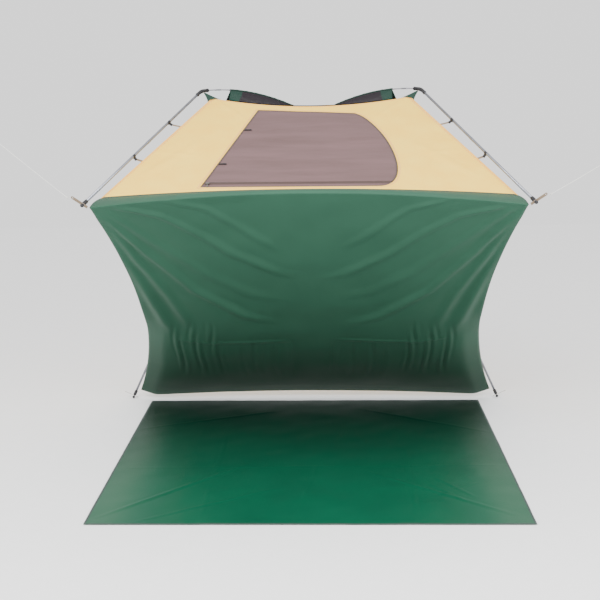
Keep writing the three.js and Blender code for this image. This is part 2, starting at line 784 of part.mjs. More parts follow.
// One roof panel, from a wall's top edge up to the peak between the two poles that rise from its
// ends. It follows the poles from PANEL_START on, and its middle is a straight line to the peak.
function roofPanelPoint(first, second) {
  const firstArc = arcFromHub(first.end, first.side);
  const secondArc = arcFromHub(second.end, second.side);
  const edge = topEdge(clothCorner[first.end](first.side), clothCorner[second.end](second.side));
  const edgeMiddle = edge(0.5).z;
  const peak = firstArc(0.5).z - PANEL_DROP;
  const firstRow = 1 / (PANEL_CELLS + 1);
  return (u, w) => {
    if (w === 0) {
      const place = edge(lerp(PANEL_CORNER, 1 - PANEL_CORNER, u));
      return place.setZ(place.z + PANEL_OFF_WALL);
    }
    const t = lerp(PANEL_START, PANEL_END, (w - firstRow) / (1 - firstRow));
    const margin = PANEL_EDGE / firstArc(t).distanceTo(secondArc(t));
    const place = firstArc(t).lerp(secondArc(t), lerp(margin, 1 - margin, u));
    const atPoles = place.z - PANEL_DROP;
    const sag = atPoles - lerp(edgeMiddle, peak, 2 * t);
    return place.setZ(atPoles - sag * bow(u));
  };
}

const ROOF_PANELS = {
  roof_front: [{ end: 'front', side: SIDES.left }, { end: 'front', side: SIDES.right }],
  roof_right: [{ end: 'front', side: SIDES.right }, { end: 'rear', side: SIDES.right }],
  roof_rear: [{ end: 'rear', side: SIDES.right }, { end: 'rear', side: SIDES.left }],
  roof_left: [{ end: 'rear', side: SIDES.left }, { end: 'front', side: SIDES.left }],
};

function addRoof(group) {
  for (const [name, [first, second]] of Object.entries(ROOF_PANELS)) {
    const surface = roofPanelPoint(first, second);
    group.add(part(name, clothSolid(surface, PANEL_CELLS, PANEL_CELLS + 1), MATERIALS.darkMesh));
  }
}

// ---- Whole object ----

function groundSheet() {
  const half = SHEET_SIDE / 2;
  const corner = SHEET_CORNER;
  const inner = half - corner;
  const shape = new THREE.Shape();
  shape.absarc(inner, -inner, corner, -Math.PI / 2, 0, false);
  shape.absarc(inner, inner, corner, 0, Math.PI / 2, false);
  shape.absarc(-inner, inner, corner, Math.PI / 2, Math.PI, false);
  shape.absarc(-inner, -inner, corner, Math.PI, 1.5 * Math.PI, false);
  const cornerSegments = 4;
  const mesh = part('ground_sheet', flatSolid(shape, CLOTH, cornerSegments), MATERIALS.groundSheet);
  mesh.position.z = CLOTH / 2;
  return mesh;
}

function tentGroup() {
  const group = new THREE.Group();
  group.position.set(0, SHEET_SIDE / 2 + SHEET_TO_FEET, FOOT_RADIUS);
  group.rotation.x = -TILT;
  group.add(part('floor', floorGeometry(), MATERIALS.floor), frontWall());
  for (const [name, surface] of Object.entries(WALLS)) addWall(group, name, surface);
  addRoof(group);
  addPoles(group);
  for (const end of ENDS) {
    for (const [sideName, side] of Object.entries(SIDES)) {
      const label = `${end}_${sideName}`;
      addLeg(group, end, side, label);
      group.add(
        part(`elbow_${label}`, elbowGeometry(end, side), MATERIALS.blackPlastic),
        part(`sleeve_${label}`, sleeveGeometry(end, side), MATERIALS.green),
        part(`corner_patch_${label}`, patchGeometry(end, side), MATERIALS.green),
      );
      addClips(group, end, side, label);
      addWebbing(group, end, side, label);
    }
  }
  return group;
}

function liftingLine(name, route) {
  const curve = new THREE.CatmullRomCurve3(route.map((place) => new THREE.Vector3(...place)));
  return part(name, rodAlong(curve, LINE_RADIUS, LINE_SIDES, LINE_STEPS), MATERIALS.line);
}

const assembly = new THREE.Group();
assembly.add(
  groundSheet(),
  tentGroup(),
  liftingLine('line_left', LEFT_LINE_ROUTE),
  liftingLine('line_right', RIGHT_LINE_ROUTE),
);

export default assembly;
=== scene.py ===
"""Looks for a dome tent that stands on its rear feet, tipped back above its ground sheet.

Lengths are in metres, in the shared frame: +X right, +Y to the rear, +Z up. Places on the tent are
written as tent(x, forward, height): forward from the line through the rear feet, height above the
plane of the four feet.
"""

import json
import math

import bpy
import numpy as np
from mathutils import Matrix, Vector


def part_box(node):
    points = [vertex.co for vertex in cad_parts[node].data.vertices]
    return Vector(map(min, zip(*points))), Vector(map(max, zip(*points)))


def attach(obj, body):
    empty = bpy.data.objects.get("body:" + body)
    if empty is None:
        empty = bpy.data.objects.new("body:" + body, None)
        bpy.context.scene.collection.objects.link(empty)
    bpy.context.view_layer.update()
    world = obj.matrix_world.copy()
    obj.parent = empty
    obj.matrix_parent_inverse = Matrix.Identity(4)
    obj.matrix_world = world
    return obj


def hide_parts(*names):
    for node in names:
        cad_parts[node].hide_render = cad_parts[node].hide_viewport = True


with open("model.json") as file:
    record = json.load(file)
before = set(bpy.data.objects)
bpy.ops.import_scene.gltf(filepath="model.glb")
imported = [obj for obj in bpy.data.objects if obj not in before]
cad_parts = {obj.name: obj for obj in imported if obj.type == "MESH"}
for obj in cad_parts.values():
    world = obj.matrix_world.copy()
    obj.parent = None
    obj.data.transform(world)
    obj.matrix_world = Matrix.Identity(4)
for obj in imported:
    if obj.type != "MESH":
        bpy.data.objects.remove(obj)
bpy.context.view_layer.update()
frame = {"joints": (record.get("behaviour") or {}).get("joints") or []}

# ---- The tent's own axes ----

TILT_JOINT = next(j for j in frame["joints"] if j["name"] == "tent_tilt")
TILT = math.radians(max(TILT_JOINT["range_deg"]))
HINGE = np.array(TILT_JOINT["pos_m"])
ALONG = np.array([0.0, -math.cos(TILT), math.sin(TILT)])
RISE = np.array([0.0, math.sin(TILT), math.cos(TILT)])
ACROSS = np.array([1.0, 0.0, 0.0])


def tent(x, forward, height):
    """Places on the tent, as an array of points in the shared frame."""
    x, forward, height = np.broadcast_arrays(*(np.asarray(k, float) for k in (x, forward, height)))
    return (
        HINGE
        + x[..., None] * ACROSS
        + forward[..., None] * ALONG
        + height[..., None] * RISE
    )


def lerp(a, b, t):
    return a + (b - a) * t


def bow(t):
    return 4 * t * (1 - t)


def smooth(t):
    t = np.clip(t, 0, 1)
    return t * t * (3 - 2 * t)


def unit(v):
    return v / np.linalg.norm(v, axis=-1, keepdims=True)


# ---- Camera ----

CAMERA_PLACE = (0.1346, -8.1359, 2.7011)
CAMERA_LENS = 68.06
CAMERA_SENSOR = 36
CAMERA_PITCH = math.radians(10.69)
CAMERA_YAW = math.radians(-1.51)
CAMERA_ROLL = math.radians(0.58)


def add_camera():
    looking = Vector((
        math.sin(CAMERA_YAW) * math.cos(CAMERA_PITCH),
        math.cos(CAMERA_YAW) * math.cos(CAMERA_PITCH),
        -math.sin(CAMERA_PITCH),
    ))
    right = Vector((math.cos(CAMERA_YAW), -math.sin(CAMERA_YAW), 0))
    down = looking.cross(right)
    turn = Matrix.Rotation(CAMERA_ROLL, 3, looking)
    right, down = turn @ right, turn @ down
    data = bpy.data.cameras.new("camera")
    data.lens = CAMERA_LENS
    data.sensor_width = CAMERA_SENSOR
    camera = bpy.data.objects.new("camera", data)
    bpy.context.collection.objects.link(camera)
    axes = Matrix((right, -down, -looking)).transposed().to_4x4()
    camera.matrix_world = Matrix.Translation(CAMERA_PLACE) @ axes
    bpy.context.scene.camera = camera


add_camera()

# ---- Materials ----


def linear(code):
    """A colour written as #rrggbb, as the linear values that a shader takes."""
    parts = [int(code[k:k + 2], 16) / 255 for k in (1, 3, 5)]
    return tuple(c / 12.92 if c <= 0.04045 else ((c + 0.055) / 1.055) ** 2.4 for c in parts) + (1.0,)


class Look:
    """A material made of nodes, with a principled shader at its end."""

    def __init__(self, name):
        self.material = bpy.data.materials.new(name)
        self.material.use_nodes = True
        self.tree = self.material.node_tree
        self.tree.nodes.clear()
        self.shader = self.add("ShaderNodeBsdfPrincipled")
        output = self.add("ShaderNodeOutputMaterial")
        self.link(self.shader.outputs["BSDF"], output.inputs["Surface"])
        self.uv = self.add("ShaderNodeTexCoord").outputs["UV"]
        self.normal = None

    def add(self, kind, **settings):
        node = self.tree.nodes.new(kind)
        for key, value in settings.items():
            setattr(node, key, value)
        return node

    def link(self, start, end):
        self.tree.links.new(start, end)

    def math(self, operation, a, b=0.0):
        node = self.add("ShaderNodeMath", operation=operation)
        for socket, value in zip(node.inputs, (a, b)):
            if isinstance(value, (int, float)):
                socket.default_value = value
            else:
                self.link(value, socket)
        return node.outputs[0]

    def scaled(self, x, y, z=1.0):
        node = self.add("ShaderNodeMapping")
        node.inputs["Scale"].default_value = (x, y, z)
        self.link(self.uv, node.inputs["Vector"])
        return node.outputs[0]

    def noise(self, x, y, detail=3.0, rough=0.5):
        node = self.add("ShaderNodeTexNoise")
        node.inputs["Scale"].default_value = 1.0
        node.inputs["Detail"].default_value = detail
        node.inputs["Roughness"].default_value = rough
        self.link(self.scaled(x, y), node.inputs["Vector"])
        return node.outputs["Fac"]

    def waves(self, period, direction):
        node = self.add("ShaderNodeTexWave", bands_direction=direction)
        node.inputs["Scale"].default_value = 2 * math.pi / (20 * period)
        self.link(self.uv, node.inputs["Vector"])
        return node.outputs["Fac"]

    def ramp(self, value, stops):
        node = self.add("ShaderNodeValToRGB")
        elements = node.color_ramp.elements
        while len(elements) < len(stops):
            elements.new(0.5)
        for element, (place, colour) in zip(elements, stops):
            element.position = place
            element.color = colour
        self.link(value, node.inputs["Fac"])
        return node.outputs["Color"]

    def mix(self, share, a, b, blend="MIX"):
        node = self.add("ShaderNodeMix", data_type="RGBA", blend_type=blend)
        for socket, value in ((node.inputs[0], share), (node.inputs[6], a), (node.inputs[7], b)):
            if isinstance(value, (int, float, tuple)):
                socket.default_value = value
            else:
                self.link(value, socket)
        return node.outputs[2]

    def bump(self, height, depth, strength=1.0):
        node = self.add("ShaderNodeBump")
        node.inputs["Strength"].default_value = strength
        node.inputs["Distance"].default_value = depth
        self.link(height, node.inputs["Height"])
        if self.normal is not None:
            self.link(self.normal, node.inputs["Normal"])
        self.normal = node.outputs["Normal"]

    def share(self, value, start, end):
        """0 at start and 1 at end, level beyond both, with soft ends."""
        node = self.add("ShaderNodeMapRange", interpolation_type="SMOOTHSTEP")
        node.inputs["From Min"].default_value = start
        node.inputs["From Max"].default_value = end
        self.link(value, node.inputs["Value"])
        return node.outputs["Result"]

    def finish(self, colour, rough, **uniform):
        self.link(colour, self.shader.inputs["Base Color"])
        self.link(rough, self.shader.inputs["Roughness"])
        if self.normal is not None:
            self.link(self.normal, self.shader.inputs["Normal"])
        for key, value in uniform.items():
            self.shader.inputs[key.replace("_", " ")].default_value = value
        return self.material

    def rough(self, value, low, high):
        return self.math("ADD", self.math("MULTIPLY", value, high - low), low)


def cloth(name, colour, shade, rough=(0.6, 0.8), weave=0.0016, weave_depth=0.0002, crumple=0.002,
          sheen=0.15, alpha=1.0, grid=None, fade=None, sides=None, spread=(5.0, 5.0), gloss=0.4):
    """Woven cloth: two crossing sets of threads, blotches, small creases and a soft sheen.

    fade is (axis, start, end, colour), painted shade: a darker colour multiplied in more and more along one
    UV axis.
    sides is (start, end, colour), a colour that takes over towards both side edges; on the ground sheet it
    is painted light, on the roof mesh the colour of its patches.
    """
    look = Look(name)
    blotches = look.noise(*spread, 5.0, 0.6)
    tone = look.ramp(blotches, [(0.3, linear(shade)), (0.7, linear(colour))])
    place = look.add("ShaderNodeSeparateXYZ")
    look.link(look.uv, place.inputs[0])
    # Colour towards both side edges: painted light on the ground sheet, the patch colour on the roof mesh.
    if sides is not None:
        start, end, colour = sides
        share = look.share(look.math("ABSOLUTE", place.outputs[0]), start, end)
        tone = look.mix(share, tone, linear(colour))
    # Painted shade: a darker colour multiplied in along one UV axis.
    if fade is not None:
        axis, start, end, painted_shade_tint = fade
        tone = look.mix(look.share(place.outputs[axis], start, end), tone, linear(painted_shade_tint), "MULTIPLY")
    threads = look.math("MULTIPLY", look.waves(weave, "X"), look.waves(weave, "Y"))
    tone = look.mix(look.math("MULTIPLY", threads, 0.12), tone, linear(shade))
    look.bump(look.noise(38.0, 38.0, 4.0, 0.6), crumple, 0.6)
    if grid is not None:
        lines = look.math("MAXIMUM", look.math("POWER", look.waves(grid, "X"), 24.0),
                          look.math("POWER", look.waves(grid, "Y"), 24.0))
        look.bump(lines, 0.0003, 0.5)
    look.bump(threads, weave_depth, 0.35)
    return look.finish(tone, look.rough(blotches, *rough), Sheen_Weight=sheen, Sheen_Roughness=0.5,
                       Specular_IOR_Level=gloss, Alpha=alpha)


STITCH_STEP = 0.0045
STITCH_SHARE = 0.62
STITCH_PLACE = 0.72
STITCH_HALF = 0.0006


def tape(name, colour, shade, thread, half, rough=(0.65, 0.85), ribs=0.0022):
    """A narrow woven band with a row of stitches near each edge. Its UV runs along, then across."""
    look = Look(name)
    blotches = look.noise(30.0, 30.0, 4.0)
    tone = look.ramp(blotches, [(0.3, linear(shade)), (0.7, linear(colour))])
    parts = look.add("ShaderNodeSeparateXYZ")
    look.link(look.uv, parts.inputs[0])
    steps = look.math("FRACT", look.math("DIVIDE", parts.outputs[0], STITCH_STEP))
    dash = look.math("LESS_THAN", steps, STITCH_SHARE)
    across = look.math("ABSOLUTE", parts.outputs[1])
    row = look.math("ABSOLUTE", look.math("SUBTRACT", across, half * STITCH_PLACE))
    near = look.math("LESS_THAN", row, STITCH_HALF)
    stitch = look.math("MULTIPLY", dash, near)
    tone = look.mix(look.math("MULTIPLY", stitch, 0.85), tone, linear(thread))
    look.bump(look.waves(ribs, "X"), 0.00025, 0.4)
    look.bump(stitch, 0.0004, 0.7)
    return look.finish(tone, look.rough(blotches, *rough), Sheen_Weight=0.15, Sheen_Roughness=0.5)


def hard(name, colour, shade, rough, metallic=0.0, grain=(90.0, 90.0), depth=0.0002, wear=None):
    """Plastic or metal: fine grain, uneven gloss and a little wear."""
    look = Look(name)
    grains = look.noise(grain[0], grain[1], 6.0, 0.6)
    patches = look.noise(9.0, 9.0, 4.0)
    tone = look.ramp(patches, [(0.3, linear(shade)), (0.7, linear(colour))])
    if wear is not None:
        scuffs = look.math("GREATER_THAN", look.noise(60.0, 240.0, 5.0, 0.7), 0.66)
        tone = look.mix(look.math("MULTIPLY", scuffs, 0.5), tone, linear(wear))
    look.bump(grains, depth, 0.5)
    return look.finish(tone, look.rough(grains, *rough), Metallic=metallic)


TAN = cloth("tan_cloth", "#ffd75e", "#fdcd52", rough=(0.6, 0.8), sheen=0.0, crumple=0.0012, gloss=0.1)
# fade: painted shade, the floor darker towards its rear, near the ground.
FLOOR_GREEN = cloth("floor_cloth", "#345a48", "#305443", rough=(0.5, 0.62), weave=0.0014, grid=0.007,
                    crumple=0.0014, sheen=0.0, fade=(1, 1.3, 0.0, "#a9b1ac"), spread=(1.6, 1.6),
                    gloss=0.16)
# fade: painted shade of the tent over the sheet, darker towards the rear.
SHEET_GREEN = cloth("ground_sheet_cloth", "#075239", "#064a34", rough=(0.4, 0.52), weave=0.0014,
                    grid=0.007, crumple=0.0016, sheen=0.0, fade=(1, -1.0, 1.3, "#98848c"),
                    # sides: painted light, the sheet lighter towards both side edges, outside the tent's
                    # shade.
                    sides=(1.06, 1.32, "#28563f"), spread=(1.6, 1.6), gloss=0.16)
STRIP_GREEN = cloth("tub_strip_cloth", "#365845", "#305040", rough=(0.5, 0.6), crumple=0.001,
                    sheen=0.0, gloss=0.16)
PATCH_GREEN = cloth("patch_cloth", "#173a2f", "#123026", rough=(0.6, 0.8), crumple=0.0012, sheen=0.0)
# Its blotches stretch into horizontal streaks: painted shading of wrinkles.
DOOR_MESH = cloth("door_mesh", "#745b5c", "#66504f", rough=(0.75, 0.9), weave=0.0018, sheen=0.05,
                  weave_depth=0.0006, crumple=0.0008, alpha=0.93, spread=(1.3, 9.0), gloss=0.2)
ROOF_MESH = cloth("roof_mesh", "#231b22", "#1b151b", rough=(0.75, 0.9), weave=0.0018, sheen=0.0,
                  weave_depth=0.0006, crumple=0.0008, alpha=0.95, gloss=0.2,
                  sides=(0.546, 0.552, "#173a2f"))
BINDING = tape("binding", "#46302a", "#3c2823", "#66493f", 0.006)
TAN_TAPE = tape("tan_tape", "#fabf50", "#f0b446", "#ffe0a0", 0.008)
DARK_TAPE = tape("dark_tape", "#1c352d", "#162b25", "#44625a", 0.007)
BROWN_WEBBING = tape("brown_webbing", "#84705a", "#6b5b48", "#c9b9a2", 0.011)
GREY_WEBBING = tape("grey_webbing", "#b5b2aa", "#9d9a93", "#e6e3da", 0.011)
STEEL = hard("leg_steel", "#9a9ca4", "#83858d", (0.28, 0.5), 0.85, (300.0, 12.0), wear="#c4c4c8")
POLE = hard("pole_fibre", "#a9a7ad", "#8e8c93", (0.3, 0.5), grain=(200.0, 20.0))
FERRULE = hard("pole_ferrule", "#b9bac0", "#a2a3aa", (0.25, 0.45), 0.9, (300.0, 12.0))
PLASTIC = hard("black_plastic", "#1b1a1e", "#141317", (0.4, 0.6), grain=(160.0, 160.0),
               wear="#2c2a30")
ZIP_METAL = hard("zip_metal", "#8b8580", "#6d6863", (0.3, 0.5), 0.8, wear="#b0aaa4")
ZIP_COIL = hard("zip_coil", "#4a3a35", "#3c2e2a", (0.6, 0.8), grain=(900.0, 60.0), depth=0.0004)
CORD_GRAIN = {"rough": (0.6, 0.85), "grain": (700.0, 120.0), "depth": 0.0006}
BROWN_CORD = hard("brown_cord", "#5c463e", "#4a3832", **CORD_GRAIN)
LINE_CORD = hard("line_cord", "#ecece6", "#d2d2cb", **CORD_GRAIN)
STAGE = hard("studio_floor", "#ffffff", "#fdfdfd", (0.8, 0.95), grain=(2.0, 2.0), depth=0.0)

# ---- Making meshes ----

CLOTH_THICK = 0.0012
MESH_THICK = 0.0010
UPRIGHT_LIMIT = 0.9
BAND_LEVELS = (1.0, 1.1, -0.2)  # a band's edges, crown and underside, in thicknesses


def mesh_object(name, points, faces, uvs, look):
    mesh = bpy.data.meshes.new(name)
    mesh.from_pydata([tuple(p) for p in points], [], faces)
    layer = mesh.uv_layers.new(name="metres")
    corners = np.empty(len(mesh.loops), int)
    mesh.loops.foreach_get("vertex_index", corners)
    layer.data.foreach_set("uv", np.asarray(uvs, float)[corners].ravel())
    mesh.polygons.foreach_set("use_smooth", [True] * len(mesh.polygons))
    mesh.materials.append(look)
    mesh.update()
    piece = bpy.data.objects.new(name, mesh)
    bpy.context.collection.objects.link(piece)
    return piece


def on_body(piece, body, nodes=()):
    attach(piece, body)
    if nodes:
        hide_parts(*nodes)
    return piece


def strip_piece(name, line, facing, section, look, body, closed=False, nodes=()):
    """A sweep that rides on a body."""
    return on_body(sweep(name, line, facing, section, look, closed), body, nodes)


def grid_faces(rows, columns, keep=None, closed=False):
    """Quads of a grid of points. A closed grid's last column joins its first."""
    width = columns if closed else columns + 1
    j, i = np.mgrid[0:rows, 0:columns]
    if keep is not None:
        j, i = j[keep], i[keep]
    low, high = j.ravel() * width, (j.ravel() + 1) * width
    here, after = i.ravel(), (i.ravel() + 1) % width
    return np.stack([low + here, low + after, high + after, high + here], 1).tolist()


def thicken(piece, thickness):
    solid = piece.modifiers.new("thickness", "SOLIDIFY")
    solid.thickness = thickness
    solid.offset = 0
    return piece


def sheet_mesh(name, points, uvs, look, thickness=CLOTH_THICK, keep=None):
    faces = grid_faces(points.shape[0] - 1, points.shape[1] - 1, keep)
    piece = mesh_object(name, points.reshape(-1, 3), faces, uvs.reshape(-1, 2), look)
    return thicken(piece, thickness)


def running_length(line):
    steps = np.linalg.norm(np.diff(line, axis=0), axis=1)
    return np.concatenate([[0.0], np.cumsum(steps)])


def sweep(name, line, facing, section, look, closed=False, scale=None):
    """A section of (across, out) pairs carried along a line. facing points out of the surface."""
    line = np.asarray(line, float)
    facing = np.broadcast_to(np.asarray(facing, float), line.shape)
    if closed:
        tangent = np.roll(line, -1, 0) - np.roll(line, 1, 0)
    else:
        tangent = np.gradient(line, axis=0)
    tangent = unit(tangent)
    side = unit(np.cross(tangent, facing))
    out = np.cross(side, tangent)
    size = np.ones(len(line)) if scale is None else np.asarray(scale, float)
    section = np.asarray(section, float)
    size = size[:, None, None]
    across = size * section[None, :, :1] * side[:, None]
    outward = size * section[None, :, 1:] * out[:, None]
    rings = line[:, None] + across + outward
    count = len(section)
    along = running_length(line)
    uvs = np.stack(np.broadcast_arrays(along[:, None], section[None, :, 0]), -1)
    faces = grid_faces(len(line) - 1, count, closed=True)
    last = (len(line) - 1) * count
    if closed:
        faces += [[last + k, last + (k + 1) % count, (k + 1) % count, k] for k in range(count)]
    else:
        faces += [list(range(count))[::-1], list(range(last, last + count))]
    faces = [face[::-1] for face in faces]
    return mesh_object(name, rings.reshape(-1, 3), faces, uvs.reshape(-1, 2), look)


def band_section(width, thickness, lift=0.0):
    """A flat band with rounded edges that lies on a surface, lift above it."""
    half, edge = width / 2, min(thickness, width / 4)
    top, crown, bottom = (lift + thickness * share for share in BAND_LEVELS)
    return [
        (-half, lift), (-half + edge, top), (-half / 2, crown), (half / 2, crown),
        (half - edge, top), (half, lift), (half - edge, bottom), (-half + edge, bottom),
    ]


def round_angles(count):
    return np.arange(count) * 2 * np.pi / count


def ring_section(radius, sides=16):
    angles = round_angles(sides)
    return np.stack([radius * np.cos(angles), radius * np.sin(angles)], 1)


def side_of(direction):
    """Any direction square to this one."""
    upright = abs(direction[2]) >= UPRIGHT_LIMIT
    helper = np.array([1.0, 0.0, 0.0] if upright else [0.0, 0.0, 1.0])
    return unit(np.cross(direction, helper))


def lathe(name, outline, place, axis, look, sides=28):
    """A solid of revolution. The outline is a list of (radius, distance along the axis)."""
    axis = unit(np.asarray(axis, float))
    right = side_of(axis)
    up = np.cross(axis, right)
    outline = np.asarray(outline, float)
    angles = round_angles(sides)
    spokes = np.cos(angles)[:, None] * right + np.sin(angles)[:, None] * up
    rings = place + outline[:, None, 1:] * axis + outline[:, None, :1] * spokes[None]
    around = angles * max(outline[:, 0])
    uvs = np.stack(np.broadcast_arrays(running_length(outline)[:, None], around[None]), -1)
    faces = grid_faces(len(outline) - 1, sides, closed=True)
    last = (len(outline) - 1) * sides
    faces += [list(range(sides))[::-1], list(range(last, last + sides))]
    return mesh_object(name, rings.reshape(-1, 3), faces, uvs.reshape(-1, 2), look)


# ---- Lines ----

LINE_RADIUS = 0.0015
LINES = {
    "line_left": [
        (-1.553, -0.842, 2.003), (-1.600, -0.842, 2.041), (-1.660, -0.842, 2.090),
        (-1.720, -0.842, 2.140), (-1.780, -0.842, 2.190), (-1.840, -0.842, 2.240),
        (-1.900, -0.842, 2.290), (-1.960, -0.842, 2.341), (-2.020, -0.842, 2.392),
        (-2.052, -0.842, 2.420),
    ],
    "line_right": [
        (1.553, -0.842, 2.003), (1.600, -0.842, 2.030), (1.650, -0.842, 2.059),
        (1.700, -0.842, 2.088), (1.750, -0.842, 2.118), (1.800, -0.842, 2.148),
        (1.850, -0.842, 2.178), (1.900, -0.842, 2.209), (1.950, -0.842, 2.240),
    ],
}
KNOT_RADIUS = 0.0042
KNOT_STEPS = 72
KNOT_WAVE = 0.35
KNOT_DEPTH = 0.8
KNOT_INSET = 0.006


def knot(name, place, direction, look):
    """A small hitch: the cord wound round itself."""
    direction = unit(np.asarray(direction, float))
    right = side_of(direction)
    up = np.cross(direction, right)
    turn = np.linspace(0, 2 * np.pi, KNOT_STEPS, endpoint=False)
    reach = KNOT_RADIUS * (1 + KNOT_WAVE * np.cos(3 * turn))
    line = (
        np.asarray(place)
        + (reach * np.cos(2 * turn))[:, None] * right
        + (reach * np.sin(2 * turn))[:, None] * up
        + (KNOT_RADIUS * KNOT_DEPTH * np.sin(3 * turn))[:, None] * direction
    )
    return sweep(name, line, direction, ring_section(LINE_RADIUS, 10), look, closed=True)


def add_lines():
    for name, route in LINES.items():
        data = bpy.data.curves.new(f"{name}_cord", "CURVE")
        data.dimensions = "3D"
        data.bevel_depth = LINE_RADIUS
        data.bevel_resolution = 3
        data.use_fill_caps = True
        spline = data.splines.new("POLY")
        spline.points.add(len(route) - 1)
        for point, place in zip(spline.points, route):
            point.co = (*place, 1)
        data.materials.append(LINE_CORD)
        cord = bpy.data.objects.new(f"{name}_cord", data)
        bpy.context.collection.objects.link(cord)
        on_body(cord, "tent", [name])
        start, end = np.array(route[0]), np.array(route[-1])
        direction = unit(end - start)
        inset_by = KNOT_INSET * direction
        knots = [
            on_body(knot(f"{name}_{part}", place, direction, LINE_CORD), "tent")
            for part, place in (("hitch", start + inset_by), ("end_knot", end - inset_by))
        ]


add_lines()

# ---- Ground sheet ----

SHEET_SIDE = 2.844
SHEET_TOP = 0.0022
SHEET_LIFT = 0.0022
SHEET_WAVE = 0.0018
SHEET_WAVES = [(0.42, 0.4), (0.31, 1.9), (0.23, 2.7), (0.57, 1.1)]
SHEET_CELLS = 180
SHEET_EDGE = 0.006
SHEET_EDGE_STEPS = 120
SHEET_CREASES = [
    # start (x, y), end (x, y), height, width
    ((-1.35, -1.30), (-0.45, -0.25), 0.0050, 0.020),
    ((-1.10, -1.38), (-0.20, -0.75), 0.0040, 0.016),
    ((1.30, -1.25), (0.35, -0.40), 0.0050, 0.020),
    ((1.10, -0.95), (0.86, -0.55), 0.0065, 0.012),
    ((1.02, -1.02), (0.80, -0.66), 0.0055, 0.010),
    ((0.94, -0.80), (1.16, -0.66), 0.0050, 0.010),
    ((-0.10, -1.40), (0.05, -0.20), 0.0030, 0.014),
    ((-1.40, -0.35), (1.40, -0.30), 0.0030, 0.012),
    ((-0.70, -1.40), (-0.66, 1.38), 0.0025, 0.010),
    ((0.70, -1.40), (0.68, 1.38), 0.0025, 0.010),
    ((-1.38, 0.60), (-0.30, 1.10), 0.0035, 0.018),
    ((1.38, 0.50), (0.40, 1.15), 0.0035, 0.018),
]


def ridge(x, y, start, end, height, width):
    """A raised line with a shallow dip at each side, which fades out towards its ends."""
    (ax, ay), (bx, by) = start, end
    length = math.hypot(bx - ax, by - ay)
    tx, ty = (bx - ax) / length, (by - ay) / length
    along = ((x - ax) * tx + (y - ay) * ty) / length
    off = (-(x - ax) * ty + (y - ay) * tx) / width
    near = np.clip(along, 0, 1)
    past = (along - near) * length / width
    fade = np.sqrt(bow(np.clip(along, 0.02, 0.98)))
    return height * fade * (1 - 1.2 * off**2) * np.exp(-(off**2) - past**2)


def ripples(x, y, waves, height):
    """Low uneven waves from a few crossing directions."""
    total = np.zeros(np.broadcast(x, y).shape)
    for k, (length, angle) in enumerate(waves):
        c, s = math.cos(angle), math.sin(angle)
        total += np.sin(2 * np.pi * (x * c + y * s) / length + 1.7 * k
                        + 1.3 * np.sin(2 * np.pi * (y * c - x * s) / (length * 1.9) + k))
    return height * total / len(waves)


def sheet_height(x, y):
    height = SHEET_TOP + SHEET_LIFT + ripples(x, y, SHEET_WAVES, SHEET_WAVE)
    for crease in SHEET_CREASES:
        height = height + ridge(x, y, *crease)
    return np.maximum(height, SHEET_TOP)


def add_ground_sheet():
    half = SHEET_SIDE / 2
    steps = np.linspace(-half, half, SHEET_CELLS + 1)
    x, y = np.meshgrid(steps, steps)
    points = np.stack([x, y, sheet_height(x, y)], -1)
    sheet = sheet_mesh("ground_sheet_cloth", points, np.stack([x, y], -1), SHEET_GREEN)
    on_body(sheet, "ground", ["ground_sheet"])
    end = half - SHEET_EDGE
    edge = np.linspace(-end, end, SHEET_EDGE_STEPS)
    ends = np.full_like(edge, end)
    sides = ((edge, -ends), (ends, edge), (-edge, ends), (-ends, -edge))
    around = np.concatenate([np.stack(side, 1)[:-1] for side in sides])
    line = np.column_stack([around, sheet_height(around[:, 0], around[:, 1])])
    binding = strip_piece("ground_sheet_binding", line, (0, 0, 1), band_section(0.014, 0.0012, 0.0006),
                          DARK_TAPE, "ground", True)


add_ground_sheet()

# ---- Where the front wall stands ----

CLOTH_TOP_FRONT = 2.290
CLOTH_TOP_HEIGHT = 1.490
WALL_FOOT = 2.990
WALL_SLOPE = (WALL_FOOT - CLOTH_TOP_FRONT) / CLOTH_TOP_HEIGHT
SLANT = math.hypot(CLOTH_TOP_HEIGHT, WALL_FOOT - CLOTH_TOP_FRONT)
SEAM_ENDS = 0.170
SEAM_MIDDLE = 0.260
SEAM_OVERLAP = 0.006

# ---- Tub floor ----

FLOOR_REAR_X = 1.535
FLOOR_FRONT_X = 1.420
FLOOR_REAR = 0.028
FLOOR_FRONT = 3.040
FLOOR_WAIST = 0.175
FLOOR_WAIST_PLACE = 0.4
FLOOR_FRONT_LIFT = 0.190
FLOOR_FRONT_PULL = 0.130
FLOOR_REAR_LIFT = 0.045
FLOOR_SIDE_LIFT = 0.060
FLOOR_BELLY = 0.040
RIM_X_FRONT = 1.378
RIM_X_REAR = 1.478
RIM_FRONT = 2.919
RIM_REAR = 0.095
RIM_HEIGHT = 0.150
FLOOR_CELLS = 220
STRIP_CELLS = 8

# Folds pulled from the two lifted front corners: routes on the left half, mirrored to the right.
FLOOR_FOLDS = [
    # route of (x, forward), height, width
    ([(-1.41, 2.98), (-1.33, 2.30), (-1.22, 1.70), (-1.14, 1.25), (-1.13, 0.95)], 0.022, 0.050),
    ([(-1.40, 2.98), (-1.24, 2.30), (-1.08, 1.75), (-0.99, 1.35), (-0.95, 1.05)], 0.016, 0.044),
    ([(-1.39, 2.98), (-1.16, 2.38), (-0.88, 1.80), (-0.52, 1.39), (-0.18, 1.23)], 0.017, 0.046),
    ([(-1.37, 2.99), (-1.08, 2.48), (-0.76, 2.00), (-0.44, 1.70), (-0.10, 1.58)], 0.008, 0.055),
    ([(-1.30, 3.00), (-1.00, 2.80), (-0.80, 2.57), (-0.56, 2.27), (-0.24, 2.00), (0.0, 1.90)],
     0.012, 0.044),
    ([(-1.02, 3.00), (-0.68, 2.80), (-0.40, 2.47), (-0.18, 2.24)], 0.008, 0.038),
    ([(-1.10, 1.02), (-0.85, 0.94), (-0.50, 0.96), (-0.10, 0.98)], 0.006, 0.020),
]
